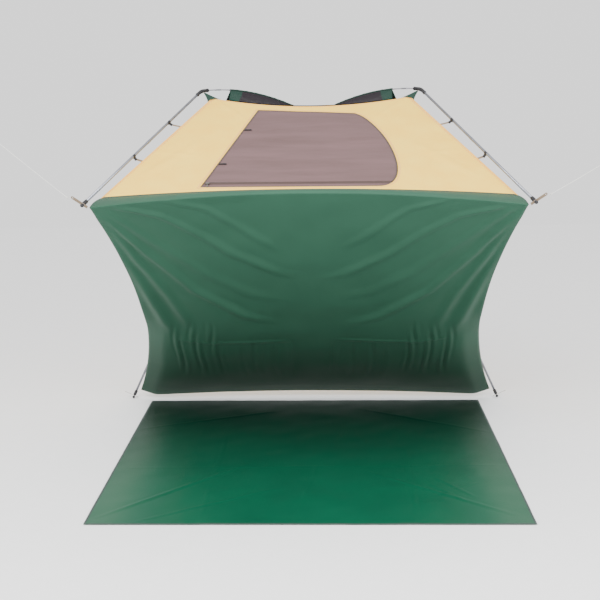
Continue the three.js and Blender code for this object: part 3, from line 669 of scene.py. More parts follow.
# between which x, between which forward, spacing, height
GATHERS = [
    ((-1.18, -0.66), (0.34, 1.40), 0.062, 0.0085),
    ((-0.66, -0.02), (0.28, 1.12), 0.078, 0.0050),
]
REAR_CREASE = [(1.165, 1.626), (1.205, 1.029), (1.268, 0.556), (1.389, 0.103), (1.41, 0.0)]
REAR_CREASE_SLOPE = 0.42
REAR_CREASE_SOFT = 0.035
REAR_CREASE_END = (1.6, 0.7)
FLOOR_WAVES = [(0.55, 0.9), (0.36, 2.2), (0.8, 0.2)]
FLOOR_WAVE = 0.004
EDGE_CALM = 0.25
EDGE_REACH = 0.10
RIM_SIDE_WAIST = 0.130
RIM_BULGE = 0.012
RIM_BACK = 0.0015
STRIP_SHOWS = 0.62
STRIP_HEIGHT = 0.15


def floor_half_width(t):
    straight = lerp(FLOOR_REAR_X, FLOOR_FRONT_X, t)
    reach = np.where(t < FLOOR_WAIST_PLACE, t / FLOOR_WAIST_PLACE, (1 - t) / (1 - FLOOR_WAIST_PLACE))
    return straight - FLOOR_WAIST * (1 - (1 - reach) ** 2)


def route_distance(x, y, route):
    """Distance to a route and share of the way along it, for arrays of places."""
    best = np.full(x.shape, np.inf)
    share = np.zeros(x.shape)
    lengths = running_length(np.array(route, float))
    for k, ((ax, ay), (bx, by)) in enumerate(zip(route, route[1:])):
        length = lengths[k + 1] - lengths[k]
        tx, ty = (bx - ax) / length, (by - ay) / length
        along = np.clip((x - ax) * tx + (y - ay) * ty, 0, length)
        away = np.hypot(x - ax - along * tx, y - ay - along * ty)
        nearer = away < best
        best = np.where(nearer, away, best)
        share = np.where(nearer, (lengths[k] + along) / lengths[-1], share)
    return best, share


def floor_folds(x, forward):
    """How far the floor stands out of its smooth shape, downwards and outwards."""
    total = ripples(x, forward, FLOOR_WAVES, FLOOR_WAVE)
    for mirror in (1, -1):
        for k, (route, height, width) in enumerate(FLOOR_FOLDS):
            shift = 0.0 if mirror == 1 else 0.03 * math.sin(2.3 * k + 1)
            moved = [(px + shift * (0.3 - abs(px) * 0.2), py + shift) for px, py in route]
            away, share = route_distance(mirror * x, forward, moved)
            spread = width * (0.6 + 0.8 * share)
            fade = smooth(share / 0.06) * smooth((1 - share) / 0.25)
            off = away / spread
            total += height * fade * (1 - 0.9 * off**2) * np.exp(-(off**2))
        for gather in GATHERS:
            total += gathers(mirror * x, forward, *gather)
    return total


def gathers(x, forward, between, reach, spacing, height):
    """Small uneven pleats side by side, which wander a little and fade out at their ends."""
    low, high = between
    share = (x - low) / (high - low)
    inside = smooth(share / 0.15) * smooth((1 - share) / 0.3)
    along = (forward - reach[0]) / (reach[1] - reach[0])
    fade = smooth(along / 0.25) * smooth((1 - along) / 0.4)
    wander = 0.016 * np.sin(forward * 7 + 5 * x) + 0.16 * (forward - 0.9) * (x + 0.5)
    uneven = 0.55 + 0.45 * np.sin(x * 41 + forward * 3)
    return height * inside * fade * uneven * np.sin(2 * np.pi * (x + wander) / spacing)


def crease_place(forward):
    """Half width at which the floor's rear corners fold up."""
    places = sorted((v, x) for x, v in REAR_CREASE)
    return np.interp(forward, [v for v, _ in places], [x for _, x in places])


def floor_crease(s, t):
    """The floor's smooth shape, s from -1 to 1 across and t from 0 at the rear to 1 at the front."""
    middle = 1 - s * s
    x = s * floor_half_width(t)
    forward = lerp(FLOOR_REAR, FLOOR_FRONT, t) - FLOOR_FRONT_PULL * t * middle
    height = (
        lerp(FLOOR_REAR_LIFT, FLOOR_FRONT_LIFT, t) * middle
        + FLOOR_SIDE_LIFT * bow(t) * s * s
        - FLOOR_BELLY * middle * bow(t)
    )
    return x, forward, height


def rim_front(s):
    along = lerp(SEAM_ENDS, SEAM_MIDDLE, 1 - s * s) + SEAM_OVERLAP
    forward = WALL_FOOT - along * (WALL_FOOT - CLOTH_TOP_FRONT) / SLANT - RIM_BACK
    return tent(s * RIM_X_FRONT, forward, along * CLOTH_TOP_HEIGHT / SLANT)


def rim_rear(s):
    middle = 1 - s * s
    return tent(s * RIM_X_REAR, RIM_REAR - 0.010 * middle, RIM_HEIGHT + 0.040 * middle)


def rim_side(side, t):
    x = side * (lerp(RIM_X_REAR, RIM_X_FRONT, t) - RIM_SIDE_WAIST * bow(t))
    return tent(x, lerp(RIM_REAR, RIM_FRONT, t), RIM_HEIGHT + 0.060 * bow(t))


def add_floor():
    ring = np.linspace(0, 1, STRIP_CELLS + 1)[1:]
    inner = np.linspace(0, 1, FLOOR_CELLS + 1)
    place = np.concatenate([np.zeros(STRIP_CELLS), inner, np.ones(STRIP_CELLS)])
    strip = np.concatenate([-ring[::-1], np.zeros(FLOOR_CELLS + 1), ring])
    s, t = np.meshgrid(2 * place - 1, place)
    across, ahead = np.meshgrid(strip, strip)
    x, forward, height = floor_crease(s, t)
    crease = crease_place(forward)
    past = np.abs(x) - crease
    fade_from, fade_over = REAR_CREASE_END
    turned_up = (past + np.hypot(past, REAR_CREASE_SOFT)) / 2
    turned_up *= smooth((fade_from - forward) / fade_over)
    turned_up *= smooth((past + 0.1) / 0.15)
    out = floor_folds(x, forward)
    from_ends = np.minimum(t, 1 - t) * (FLOOR_FRONT - FLOOR_REAR)
    edge = np.minimum(floor_half_width(t) - np.abs(x), from_ends)
    out *= lerp(EDGE_CALM, 1.0, smooth(edge / EDGE_REACH))
    body = tent(x, forward, height - out + REAR_CREASE_SLOPE * turned_up)
    share = np.maximum(np.abs(across), np.abs(ahead))[..., None]
    side_rim = rim_side(np.sign(s), t)
    end_rim = np.where((t > 0.5)[..., None], rim_front(s), rim_rear(s))
    rim = np.where((np.abs(ahead) >= np.abs(across))[..., None], end_rim, side_rim)
    points = lerp(body, rim, share)
    middle = body.mean((0, 1))
    points = points + RIM_BULGE * np.sin(np.pi * share) * unit(points - middle)
    uvs = np.stack([x, forward + STRIP_HEIGHT * ahead], -1)
    floor = sheet_mesh("floor_tub", points, uvs, FLOOR_GREEN)
    floor.data.materials.append(STRIP_GREEN)
    cells = len(place) - 1
    in_strip = np.zeros((cells, cells), bool)
    columns = place[1:] + place[:-1] - 1
    in_strip[-STRIP_CELLS:, np.abs(columns) > STRIP_SHOWS] = True
    floor.data.polygons.foreach_set("material_index", in_strip.ravel().astype(int))
    on_body(floor, "tent", ["floor"])


add_floor()

# ---- Walls ----

CLOTH_TOP_X = 0.752
CLOTH_TOP_REAR = 0.775
CLOTH_TOP_SAG = 0.136
WALL_CELLS = 64
WALL_SPAN = (2.4, 1.4)
WALL_UV = (2.3, 1.45)
WALL_BELLY = 0.010
WALL_RIPPLE = 0.002
WINDOW = (0.25, 0.75)
WINDOW_LAP = 0.003
WINDOW_CELLS = 40
WINDOW_BACK = -0.0015
SEAM_GAP = 0.002
TAPE_STEPS = 60

TOP = {
    ("front", -1): (-CLOTH_TOP_X, CLOTH_TOP_FRONT),
    ("front", 1): (CLOTH_TOP_X, CLOTH_TOP_FRONT),
    ("rear", -1): (-CLOTH_TOP_X, CLOTH_TOP_REAR),
    ("rear", 1): (CLOTH_TOP_X, CLOTH_TOP_REAR),
}
TOP_CENTRE = (0.0, (CLOTH_TOP_FRONT + CLOTH_TOP_REAR) / 2)
INSIDE = tent(0, TOP_CENTRE[1], 0.5)


def top_edge(first, second, u):
    """A wall's top edge, whose middle hangs lower and further out."""
    (ax, av), (bx, bv) = TOP[first], TOP[second]
    away = unit(np.array([(ax + bx) / 2 - TOP_CENTRE[0], (av + bv) / 2 - TOP_CENTRE[1]]))
    sag = CLOTH_TOP_SAG * bow(u)
    x = lerp(ax, bx, u) + away[0] * WALL_SLOPE * sag
    forward = lerp(av, bv, u) + away[1] * WALL_SLOPE * sag
    return tent(x, forward, CLOTH_TOP_HEIGHT - sag)


WALLS = {
    "left": (("front", -1), ("rear", -1), lambda u: rim_side(-1, 1 - u)),
    "right": (("rear", 1), ("front", 1), lambda u: rim_side(1, u)),
    "rear": (("rear", -1), ("rear", 1), lambda u: rim_rear(2 * u - 1)),
}
WALL_PULLS = [
    # start, end on the wall in metres from its lower corner, height, width
    ((0.02, 0.02), (0.75, 0.60), 0.007, 0.045),
    ((0.03, 1.38), (0.55, 1.00), 0.006, 0.035),
    ((0.02, 0.52), (0.50, 0.58), 0.004, 0.030),
    ((0.02, 0.94), (0.48, 0.90), 0.004, 0.030),
]


def wall_surface(name, u, w, outward=0.0):
    """Places on a side or rear wall: u from 0 to 1 across, w from the seam to the top."""
    first, second, seam = WALLS[name]
    u, w = np.broadcast_arrays(np.asarray(u, float), np.asarray(w, float))
    across = lerp(SEAM_GAP, 1 - SEAM_GAP, u)
    points = lerp(seam(across), top_edge(first, second, across), lerp(SEAM_GAP, 1, w)[..., None])
    away = unit((seam(np.array(0.5)) + top_edge(first, second, np.array(0.5))) / 2 - INSIDE)
    puckers = WALL_RIPPLE * np.sin(u * 34 + 3 * w) * bow(w) + WALL_BELLY * bow(u) * bow(w)
    wide, high = WALL_SPAN
    for route in WALL_PULLS:
        puckers = puckers + ridge(wide * u, high * w, *route)
        puckers = puckers + ridge(wide * (1 - u), high * w, *route)
    puckers = puckers * smooth(bow(u) / 0.1)
    return points + (puckers + outward)[..., None] * away


def facing_of(name):
    corners = wall_surface(name, np.array([0.2, 0.8, 0.5]), np.array([0.2, 0.2, 0.8]))
    normal = unit(np.cross(corners[1] - corners[0], corners[2] - corners[0]))
    return normal if normal @ (corners[0] - INSIDE) > 0 else -normal


def add_walls():
    for name in WALLS:
        steps = np.linspace(0, 1, WALL_CELLS + 1)
        u, w = np.meshgrid(steps, steps)
        first, last = (int(share * WALL_CELLS) for share in WINDOW)
        keep = np.ones((WALL_CELLS, WALL_CELLS), bool)
        keep[first:last, first:last] = False
        surface = wall_surface(name, u, w)
        wall = sheet_mesh(f"{name}_wall_cloth", surface, wall_uvs(u, w), TAN, keep=keep)
        on_body(wall, "tent", [f"{name}_wall"])
        low, high = WINDOW
        inner = np.linspace(low - WINDOW_LAP, high + WINDOW_LAP, WINDOW_CELLS + 1)
        u, w = np.meshgrid(inner, inner)
        places = wall_surface(name, u, w, WINDOW_BACK)
        window = sheet_mesh(f"{name}_window_mesh", places, wall_uvs(u, w), DOOR_MESH, MESH_THICK)
        on_body(window, "tent", [f"{name}_window"])
        facing = facing_of(name)
        line = square_line(low, high)
        border = wall_surface(name, line[:, 0], line[:, 1])
        binding = strip_piece(f"{name}_window_binding", border, facing, band_section(0.018, 0.0009, 0.0006),
                              BINDING, "tent", True)
        steps = np.linspace(0.001, 0.999, TAPE_STEPS)
        foot_line = wall_surface(name, steps, np.full(TAPE_STEPS, 0.004))
        foot = strip_piece(f"{name}_seam_tape", foot_line, facing, band_section(0.016, 0.0009, 0.0008),
                           DARK_TAPE, "tent")
        top_line = wall_surface(name, steps, np.full(TAPE_STEPS, 0.994))
        top = strip_piece(f"{name}_wall_top_tape", top_line, facing, band_section(0.016, 0.0009, 0.0006),
                          TAN_TAPE, "tent")


def wall_uvs(u, w):
    return np.stack([u * WALL_UV[0], w * WALL_UV[1]], -1)


def square_line(low, high, count=24, corner=0.02):
    """A closed square path in a wall's own u and w, with rounded corners."""
    side = np.linspace(low + corner, high - corner, count)
    turn = np.linspace(0, np.pi / 2, 6)[1:-1]
    lows, highs = np.full(count, low), np.full(count, high)
    sides = [(side, lows), (highs, side), (side[::-1], highs), (lows, side[::-1])]
    corners = [(high, low), (high, high), (low, high), (low, low)]
    parts = []
    for k, (along, place) in enumerate(zip(sides, corners)):
        parts.append(np.stack(along, 1))
        centre = np.array([c + (corner if c == low else -corner) for c in place])
        bend = k * np.pi / 2 - np.pi / 2 + turn
        parts.append(centre + corner * np.stack([np.cos(bend), np.sin(bend)], 1))
    return np.concatenate(parts)


add_walls()

# ---- Front wall and door ----

UP_SLOPE = (CLOTH_TOP_HEIGHT * RISE - (WALL_FOOT - CLOTH_TOP_FRONT) * ALONG) / SLANT
FRONT_OUT = ((WALL_FOOT - CLOTH_TOP_FRONT) * RISE + CLOTH_TOP_HEIGHT * ALONG) / SLANT
TOP_ENDS = 1.640
TOP_MIDDLE = 1.490
DOOR_FOOT = (-0.732, 0.302)
DOOR_HEAD = (-0.395, 1.438)
DOOR_TOP_RIGHT = (0.330, 1.372)
DOOR_BOTTOM_RIGHT = (0.470, 0.302)
DOOR_BULGE_HIGH = (0.545, 1.240)
DOOR_BULGE_LOW = (0.760, 0.302)
DOOR_CENTRE = (-0.08, 0.86)
DOOR_GAP = 0.002
SILL_BACK = -0.0018
ZIP_LINE = 0.355
ZIP_GAP = 0.004
DOOR_SPOKES = 360
DOOR_RINGS = 40
FRONT_BAND_THICK = 0.0006
FRONT_BAND_LIFT = 0.0009
SIDES = {"left": -1, "right": 1}
CENTRE_HOLE = 0.0003
CORNER_TURN = 0.97
SPOKE_GAP = 0.003
SHARPEST = 0.3
NEARLY_ZERO = 1e-12
ROUNDING = 1e-9
SILL_RINGS = 6
FRONT_WAVES = [(0.50, 0.3), (0.34, 1.4), (0.8, 2.4)]
FRONT_WAVE = 0.004
FRONT_PULLS = [
    # start, end on the left half as (x, along), height, width; the right half mirrors them
    ((-1.30, 0.22), (-0.78, 0.95), 0.006, 0.05),
    ((-0.72, 1.60), (-0.50, 1.30), 0.005, 0.03),
    ((-1.08, 0.80), (-0.80, 0.74), 0.004, 0.03),
]
FRONT_PULL_ENDS_RIGHT = [0.70, 0.48, 0.80]


def front(x, along, out=0.0):
    """Places on the flat front wall: x across, along up the slope, out towards the front."""
    x, along, out = np.broadcast_arrays(*(np.asarray(k, float) for k in (x, along, out)))
    foot = tent(0, WALL_FOOT, 0)
    return foot + x[..., None] * ACROSS + along[..., None] * UP_SLOPE + out[..., None] * FRONT_OUT


def front_sag(x, along):
    """How far the cloth of the front wall and door bellies out of its flat shape."""
    height = np.clip((along - SEAM_MIDDLE) / (TOP_MIDDLE - SEAM_MIDDLE), 0, 1)
    pull = 0.0
    for (start, end, rise, width), end_right in zip(FRONT_PULLS, FRONT_PULL_ENDS_RIGHT):
        pull = pull + ridge(x, along, start, end, rise, width)
        pull = pull + ridge(x, along, (-start[0], start[1]), (end_right, end[1]), rise, width)
    waves = ripples(x, along, FRONT_WAVES, FRONT_WAVE) * np.sqrt(bow(height))
    hinge = np.interp(along, [DOOR_FOOT[1], DOOR_HEAD[1]], [DOOR_FOOT[0], DOOR_HEAD[0]])
    off_hinge = smooth((np.abs(x - hinge) - 0.02) / 0.10)
    return (pull + waves) * off_hinge * smooth((along - ZIP_LINE - 0.02) / 0.2)


def bezier(a, b, c, d, count):
    t = np.linspace(0, 1, count)[:, None]
    a, b, c, d = (np.array(p) for p in (a, b, c, d))
    return (1 - t) ** 3 * a + 3 * (1 - t) ** 2 * t * b + 3 * (1 - t) * t**2 * c + t**3 * d


def segment(a, b, count):
    return lerp(np.array(a), np.array(b), np.linspace(0, 1, count)[:, None])


def door_outline():
    """The opening, anticlockwise from the foot of the hinge side. The first point isn't repeated."""
    return np.concatenate([
        segment(DOOR_FOOT, DOOR_BOTTOM_RIGHT, 60)[:-1],
        bezier(DOOR_BOTTOM_RIGHT, DOOR_BULGE_LOW, DOOR_BULGE_HIGH, DOOR_TOP_RIGHT, 80)[:-1],
        segment(DOOR_TOP_RIGHT, DOOR_HEAD, 50)[:-1],
        segment(DOOR_HEAD, DOOR_FOOT, 60)[:-1],
    ])


def seam_level(x):
    """How far up the slope the seam between front wall and floor runs."""
    return lerp(SEAM_ENDS, SEAM_MIDDLE, 1 - (x / RIM_X_FRONT) ** 2)


def top_level(x):
    return lerp(TOP_ENDS, TOP_MIDDLE, 1 - (x / CLOTH_TOP_X) ** 2)


def wall_outline():
    seam_x = np.linspace(-RIM_X_FRONT, RIM_X_FRONT, 90)
    seam = np.stack([seam_x, seam_level(seam_x)], 1)
    top_x = np.linspace(CLOTH_TOP_X, -CLOTH_TOP_X, 60)
    top = np.stack([top_x, top_level(top_x)], 1)
    right = segment(seam[-1], top[0], 60)
    left = segment(top[-1], seam[0], 60)
    return np.concatenate([seam[:-1], right[:-1], top[:-1], left[:-1]])


def inset(outline, distance):
    """A closed anticlockwise outline moved inwards."""
    before, after = edge_directions(outline)
    tangent = unit(before + after)
    inward = np.stack([-tangent[:, 1], tangent[:, 0]], 1)
    sharp = np.maximum(np.abs((tangent * after).sum(1)), SHARPEST)
    return outline + inward * (distance / sharp)[:, None]


def edge_directions(outline):
    """The directions of the edges that end and that start at each point of a closed outline."""
    return unit(outline - np.roll(outline, 1, 0)), unit(np.roll(outline, -1, 0) - outline)


def spoke_ends(outline, centre, angles):
    """Where rays from the centre at these angles meet a closed outline."""
    start, end = outline, np.roll(outline, -1, 0)
    directions = np.stack([np.cos(angles), np.sin(angles)], 1)
    edge = (end - start)[None]
    gap = (start - centre)[None]
    dx, dy = directions[:, None, 0], directions[:, None, 1]
    cross = dx * edge[..., 1] - dy * edge[..., 0]
    cross = np.where(np.abs(cross) < NEARLY_ZERO, NEARLY_ZERO, cross)
    reach = (gap[..., 0] * edge[..., 1] - gap[..., 1] * edge[..., 0]) / cross
    share = (gap[..., 0] * dy - gap[..., 1] * dx) / cross
    hit = (reach > 0) & (share >= -ROUNDING) & (share <= 1 + ROUNDING)
    reach = np.where(hit, reach, np.inf).min(1)
    return centre + directions * reach[:, None]


def spoke_angles(centre, *outlines):
    """Even angles, with each outline's sharp corners added."""
    angles = list(np.linspace(-np.pi, np.pi, DOOR_SPOKES, endpoint=False))
    for outline in outlines:
        before, after = edge_directions(outline)
        for point in outline[(before * after).sum(1) < CORNER_TURN]:
            angles.append(math.atan2(point[1] - centre[1], point[0] - centre[0]))
    angles = np.sort(np.array(angles))
    keep = np.diff(angles, prepend=angles[0] - 1) > SPOKE_GAP
    return angles[keep]


def on_front(flat, out=0.0):
    """Places on the front wall's cloth, bellied as it is, for an array of (x, along)."""
    x, along = flat[..., 0], flat[..., 1]
    return front(x, along, front_sag(x, along) + out)


def front_sheet(name, inner, outer, centre, look, thickness=CLOTH_THICK, rings=DOOR_RINGS, out=0.0):
    """A sheet of the front wall between two outlines, or from a centre out to one outline."""
    centre = np.array(centre)
    outlines = [outer] if inner is None else [inner, outer]
    angles = spoke_angles(centre, *outlines)
    far = spoke_ends(outer, centre, angles)
    if inner is None:
        near = centre + (far - centre) * CENTRE_HOLE
    else:
        near = spoke_ends(inner, centre, angles)
    share = np.linspace(0, 1, rings + 1)[:, None, None]
    flat = lerp(near[None], far[None], share)
    points = on_front(flat, out)
    count = len(angles)
    faces = grid_faces(rings, count, closed=True)
    if inner is None:
        faces.append(list(range(count))[::-1])
    piece = mesh_object(name, points.reshape(-1, 3), faces, flat.reshape(-1, 2), look)
    return thicken(piece, thickness)


def clipped(outline, level, sign):
    """The part of a closed outline above (1) or below (-1) a level."""
    kept = []
    for point, after in zip(outline, np.roll(outline, -1, 0)):
        here, there = (point[1] - level) * sign, (after[1] - level) * sign
        if here >= 0:
            kept.append(point)
        if here * there < 0:
            kept.append(lerp(point, after, here / (here - there)))
    return np.array(kept)


def band_on_front(name, flat, width, look, body="tent", closed=False, out=0.0):
    section = band_section(width, FRONT_BAND_THICK, FRONT_BAND_LIFT)
    return strip_piece(name, on_front(flat, out), FRONT_OUT, section, look, body, closed)


def add_front():
    door = door_outline()
    wall = front_sheet("front_wall_cloth", door, wall_outline(), DOOR_CENTRE, TAN)
    on_body(wall, "tent", ["front_wall"])
    panel_line = clipped(inset(door, DOOR_GAP), ZIP_LINE + ZIP_GAP / 2, 1)
    panel = front_sheet("door_panel_mesh", None, panel_line, DOOR_CENTRE, DOOR_MESH, MESH_THICK)
    on_body(panel, "door", ["door_panel"])
    sill_line = clipped(inset(door, DOOR_GAP), ZIP_LINE - ZIP_GAP / 2, -1)
    sill_centre = (-0.1, (DOOR_FOOT[1] + ZIP_LINE) / 2)
    sill = front_sheet("door_sill_mesh", None, sill_line, sill_centre, DOOR_MESH, MESH_THICK,
                       SILL_RINGS, SILL_BACK)
    on_body(sill, "tent", ["door_sill"])
    edge = band_on_front("door_panel_binding", inset(panel_line, 0.006), 0.011, BINDING,
                         body="door", closed=True)
    around = band_on_front("door_opening_tape", inset(door, -0.012), 0.014, TAN_TAPE,
                           closed=True)
    left, bottom_level = DOOR_FOOT
    foot_level = bottom_level + 0.006
    foot_line = segment((left + 0.012, foot_level), (0.50, foot_level), TAPE_STEPS)
    foot_band = band_on_front("door_sill_binding", foot_line, 0.010, BINDING, out=SILL_BACK)
    zip_level = ZIP_LINE - 0.0062
    zip_line = segment((left + 0.02, zip_level), (0.552, zip_level), TAPE_STEPS)
    lower = band_on_front("zip_tape_lower", zip_line, 0.016, BINDING, out=SILL_BACK)
    teeth_line = segment((left + 0.03, ZIP_LINE), (0.555, ZIP_LINE), 120)
    teeth = strip_piece("zip_coil", on_front(teeth_line), FRONT_OUT, ring_section(0.0013, 8),
                        ZIP_COIL, "tent")
    seam_x = np.linspace(-RIM_X_FRONT + 0.005, RIM_X_FRONT - 0.005, 110)
    seam = np.stack([seam_x, seam_level(seam_x) + 0.004], 1)
    bottom = band_on_front("front_seam_tape", seam, 0.016, DARK_TAPE)
    top_x = np.linspace(-CLOTH_TOP_X + 0.004, CLOTH_TOP_X - 0.004, 70)
    top = np.stack([top_x, top_level(top_x) - 0.009], 1)
    upper = band_on_front("front_wall_top_tape", top, 0.016, TAN_TAPE)
    for label, side in SIDES.items():
        low = (side * (RIM_X_FRONT - 0.010), SEAM_ENDS + 0.01)
        high = (side * (CLOTH_TOP_X - 0.008), TOP_ENDS - 0.01)
        band_on_front(f"front_wall_{label}_tape", segment(low, high, 70), 0.015,
                                   TAN_TAPE)


add_front()

# ---- Poles, legs, elbows and feet ----

REAR_FOOT_X = 1.600
FRONT_FOOT_X = 1.464
FOOT_DEPTH = 3.065
HUB_X = 0.843
HUB_INSET = 0.757
HUB_HEIGHT = 1.544
POLE_RADIUS = 0.005
POLE_RISE = 0.350
POLE_CROSSING = 0.007
ELBOW_ARM = 0.075
ELBOW_SOCKET = 0.045
SLEEVE_RADIUS = 0.009
SLEEVE = (0.13, 0.465)
CLIPS = {"lower": 0.39, "upper": 0.69}
CORNERS = [(end, side, name) for end in ("front", "rear") for name, side in SIDES.items()]
POLE_ENDS = (0.012, 0.988)
FERRULE_PLACES = (0.075, 0.5, 0.925)
FERRULE_HALF = 0.014
FERRULE_THICK = 0.0009
LEG_RADIUS = 0.0095
FOOT_BALL = 0.012
FOOT_PROFILE = [
    # radius, distance from the foot's centre: neck, collar, rib and socket
    (0.0066, 0.0090), (0.0062, 0.0115), (0.0062, 0.0170), (0.0100, 0.0190), (0.0128, 0.0205),
    (0.0132, 0.0230), (0.0132, 0.0330), (0.0138, 0.0345), (0.0138, 0.0385), (0.0132, 0.0400),
    (0.0132, 0.0570), (0.0126, 0.0600), (0.0104, 0.0606),
]
LOWER_LEG_START = [(0.0088, 0.0304), (LEG_RADIUS, 0.0304)]
LOWER_LEG_END = [
    # radius, distance past the joint: a rolled end, then the spigot
    (LEG_RADIUS, -0.010), (LEG_RADIUS + 0.0003, -0.007), (LEG_RADIUS - 0.0004, -0.0035),
    (LEG_RADIUS, -0.002), (LEG_RADIUS - 0.0006, 0.0), (0.0083, 0.0), (0.0083, 0.060), (0.0070, 0.062),
]
UPPER_LEG_START = [
    # radius, distance past the joint: the widened mouth over the spigot
    (0.0088, 0.0004), (LEG_RADIUS + 0.0007, 0.0008), (LEG_RADIUS + 0.0009, 0.004),
    (LEG_RADIUS + 0.0009, 0.052), (LEG_RADIUS + 0.0002, 0.056), (LEG_RADIUS, 0.060),
]
UPPER_LEG_BORE = 0.0086
ELBOW_RADIUS = 0.0128
ELBOW_LIP = 0.0012
ELBOW_COLLAR = (0.012, 0.0016)
ELBOW_BEND = (0.02, 0.0010)
RIB_HEIGHT = 0.0006
RIB_START = 0.028
RIB_RATE = 700
CLIP_TAB = 0.026
GUSSET_TIP = 0.72
GUSSET_ALONG = 0.060
GUSSET_DOWN = 0.055
GUSSET_HOLLOW = 0.22
GUSSET_PINCH = 0.10
GUSSET_AHEAD = 0.0025
GUSSET_THICK = 0.0014
GUSSET_CELLS = 14
GUSSET_STRAP = (0.66, 0.92)


def foot_place(end, side):
    x, forward = (FRONT_FOOT_X, FOOT_DEPTH) if end == "front" else (REAR_FOOT_X, 0)
    return tent(side * x, forward, 0)


def hub_place(end, side):
    forward = FOOT_DEPTH - HUB_INSET if end == "front" else HUB_INSET
    return tent(side * HUB_X, forward, HUB_HEIGHT)


def leg_frame(end, side):
    """A leg's foot, direction and length."""
    foot, hub = foot_place(end, side), hub_place(end, side)
    return foot, unit(hub - foot), np.linalg.norm(hub - foot)


def pole_arc(side, lift, t):
    """The pole from the front hub on one side over the peak to the opposite rear hub."""
    start, end = hub_place("front", side), hub_place("rear", -side)
    half = np.linalg.norm(end - start) / 2
    rise = POLE_RISE + lift
    radius = (half * half + rise * rise) / (2 * rise)
    spread = math.asin(half / radius)
    angle = lerp(-spread, spread, np.asarray(t, float))
    travel = (1 + np.sin(angle) / math.sin(spread)) / 2
    height = radius * (np.cos(angle) - math.cos(spread))
    return lerp(start, end, travel[..., None]) + height[..., None] * RISE


def arc_from(end, side, t):
    t = np.asarray(t, float)
    front_side = side if end == "front" else -side
    return pole_arc(front_side, pole_lift(front_side), t if end == "front" else 1 - t)


def pole_direction(end, side):
    return unit(arc_from(end, side, 0.02) - arc_from(end, side, 0.0))


def pole_lift(side):
    return POLE_CROSSING if side == -1 else -POLE_CROSSING


def add_poles():
    for side, name in ((-1, "roof_pole_upper"), (1, "roof_pole_lower")):
        line = pole_arc(side, pole_lift(side), np.linspace(*POLE_ENDS, 90))
        strip_piece(f"{name}_rod", line, RISE, ring_section(POLE_RADIUS), POLE, "tent",
                    nodes=[name])
        for k, place in enumerate(FERRULE_PLACES):
            steps = np.linspace(place - FERRULE_HALF, place + FERRULE_HALF, 9)
            strip_piece(f"{name}_ferrule_{k + 1}", pole_arc(side, pole_lift(side), steps), RISE,
                        ring_section(POLE_RADIUS + FERRULE_THICK), FERRULE, "tent")


def add_leg(end, side, label):
    foot, axis, length = leg_frame(end, side)
    joint = length / 2
    top = length - (ELBOW_ARM - ELBOW_SOCKET)
    bend = np.linspace(-np.pi / 2, 0.2, 9)
    ball = [(max(FOOT_BALL * math.cos(a), 0.0001), FOOT_BALL * math.sin(a)) for a in bend]
    lower_end = [(radius, joint + past) for radius, past in LOWER_LEG_END]
    upper_start = [(radius, joint + past) for radius, past in UPPER_LEG_START]
    parts = [
        ("foot", "cap", ball + FOOT_PROFILE, PLASTIC, "black_plastic"),
        ("lower_leg", "tube", LOWER_LEG_START + lower_end, STEEL, "steel_tube"),
        ("upper_leg", "tube", upper_start + [(LEG_RADIUS, top), (UPPER_LEG_BORE, top)], STEEL,
         "steel_tube"),
    ]
    for part, form, outline, look, slot in parts:
        node = f"{part}_{label}"
        on_body(lathe(f"{node}_{form}", outline, foot, axis, look), "tent", [node])


def add_elbow(end, side, label):
    hub = hub_place(end, side)
    down = -unit(hub - foot_place(end, side))
    inward = pole_direction(end, side)
    start, stop = hub + down * ELBOW_ARM, hub + inward * ELBOW_ARM
    a, b = hub + down * ELBOW_ARM / 2, hub + inward * ELBOW_ARM / 2
    t = np.linspace(0, 1, 17)[:, None]
    bend = (1 - t) ** 2 * a + 2 * (1 - t) * t * hub + t**2 * b
    arm = np.linspace(0, 1, 13)[:, None]
    line = np.concatenate([lerp(start, a, arm[:-1]), bend, lerp(b, stop, arm[1:])])
    along = running_length(line)
    total = along[-1]
    radius = np.full(len(line), ELBOW_RADIUS)
    for place, (reach, grow) in ((0.0, ELBOW_COLLAR), (total, ELBOW_COLLAR), (total / 2, ELBOW_BEND)):
        radius += grow * smooth(1.4 - np.abs(along - place) / reach)
    from_bend = np.clip(np.abs(along - total / 2) - RIB_START, 0, None)
    inside = (along > ELBOW_COLLAR[0]) * (along < total - ELBOW_COLLAR[0])
    radius += RIB_HEIGHT * np.cos(from_bend * RIB_RATE) * inside
    radius[[0, -1]] -= ELBOW_LIP
    facing = unit(np.cross(down, inward))
    ring = ring_section(1.0, 20)
    piece = sweep(f"elbow_{label}_moulding", line, facing, ring, PLASTIC, scale=radius)
    on_body(piece, "tent", [f"elbow_{label}"])


def add_sleeve(end, side, label):
    """The cloth tunnel round a pole, a little uneven along its length."""
    line = arc_from(end, side, np.linspace(*SLEEVE, 120))
    along = running_length(line)
    size = 1 + 0.10 * np.sin(along * 95) * np.sin(along * 31 + side)
    section = ring_section(SLEEVE_RADIUS - 0.0008, 18)
    sleeve = sweep(f"sleeve_{label}_tube", line, RISE, section, PATCH_GREEN, scale=size)
    on_body(sleeve, "tent", [f"sleeve_{label}"])


def rim_corner(end, side):
    if end == "front":
        return tent(side * RIM_X_FRONT, RIM_FRONT, RIM_HEIGHT)
    return tent(side * RIM_X_REAR, RIM_REAR, RIM_HEIGHT)


def cloth_corner(end, side):
    x, forward = TOP[(end, side)]
    return tent(x, forward, CLOTH_TOP_HEIGHT)


def add_piping(end, side, label):
    """The rolled seam down a corner of the tent, between two walls."""
    line = segment(cloth_corner(end, side), rim_corner(end, side), 60)
    facing = unit(line[0] - tent(0, TOP_CENTRE[1], 0.9))
    strip_piece(f"corner_seam_{label}", line, facing, ring_section(0.0042, 12), TAN_TAPE,
                "tent")


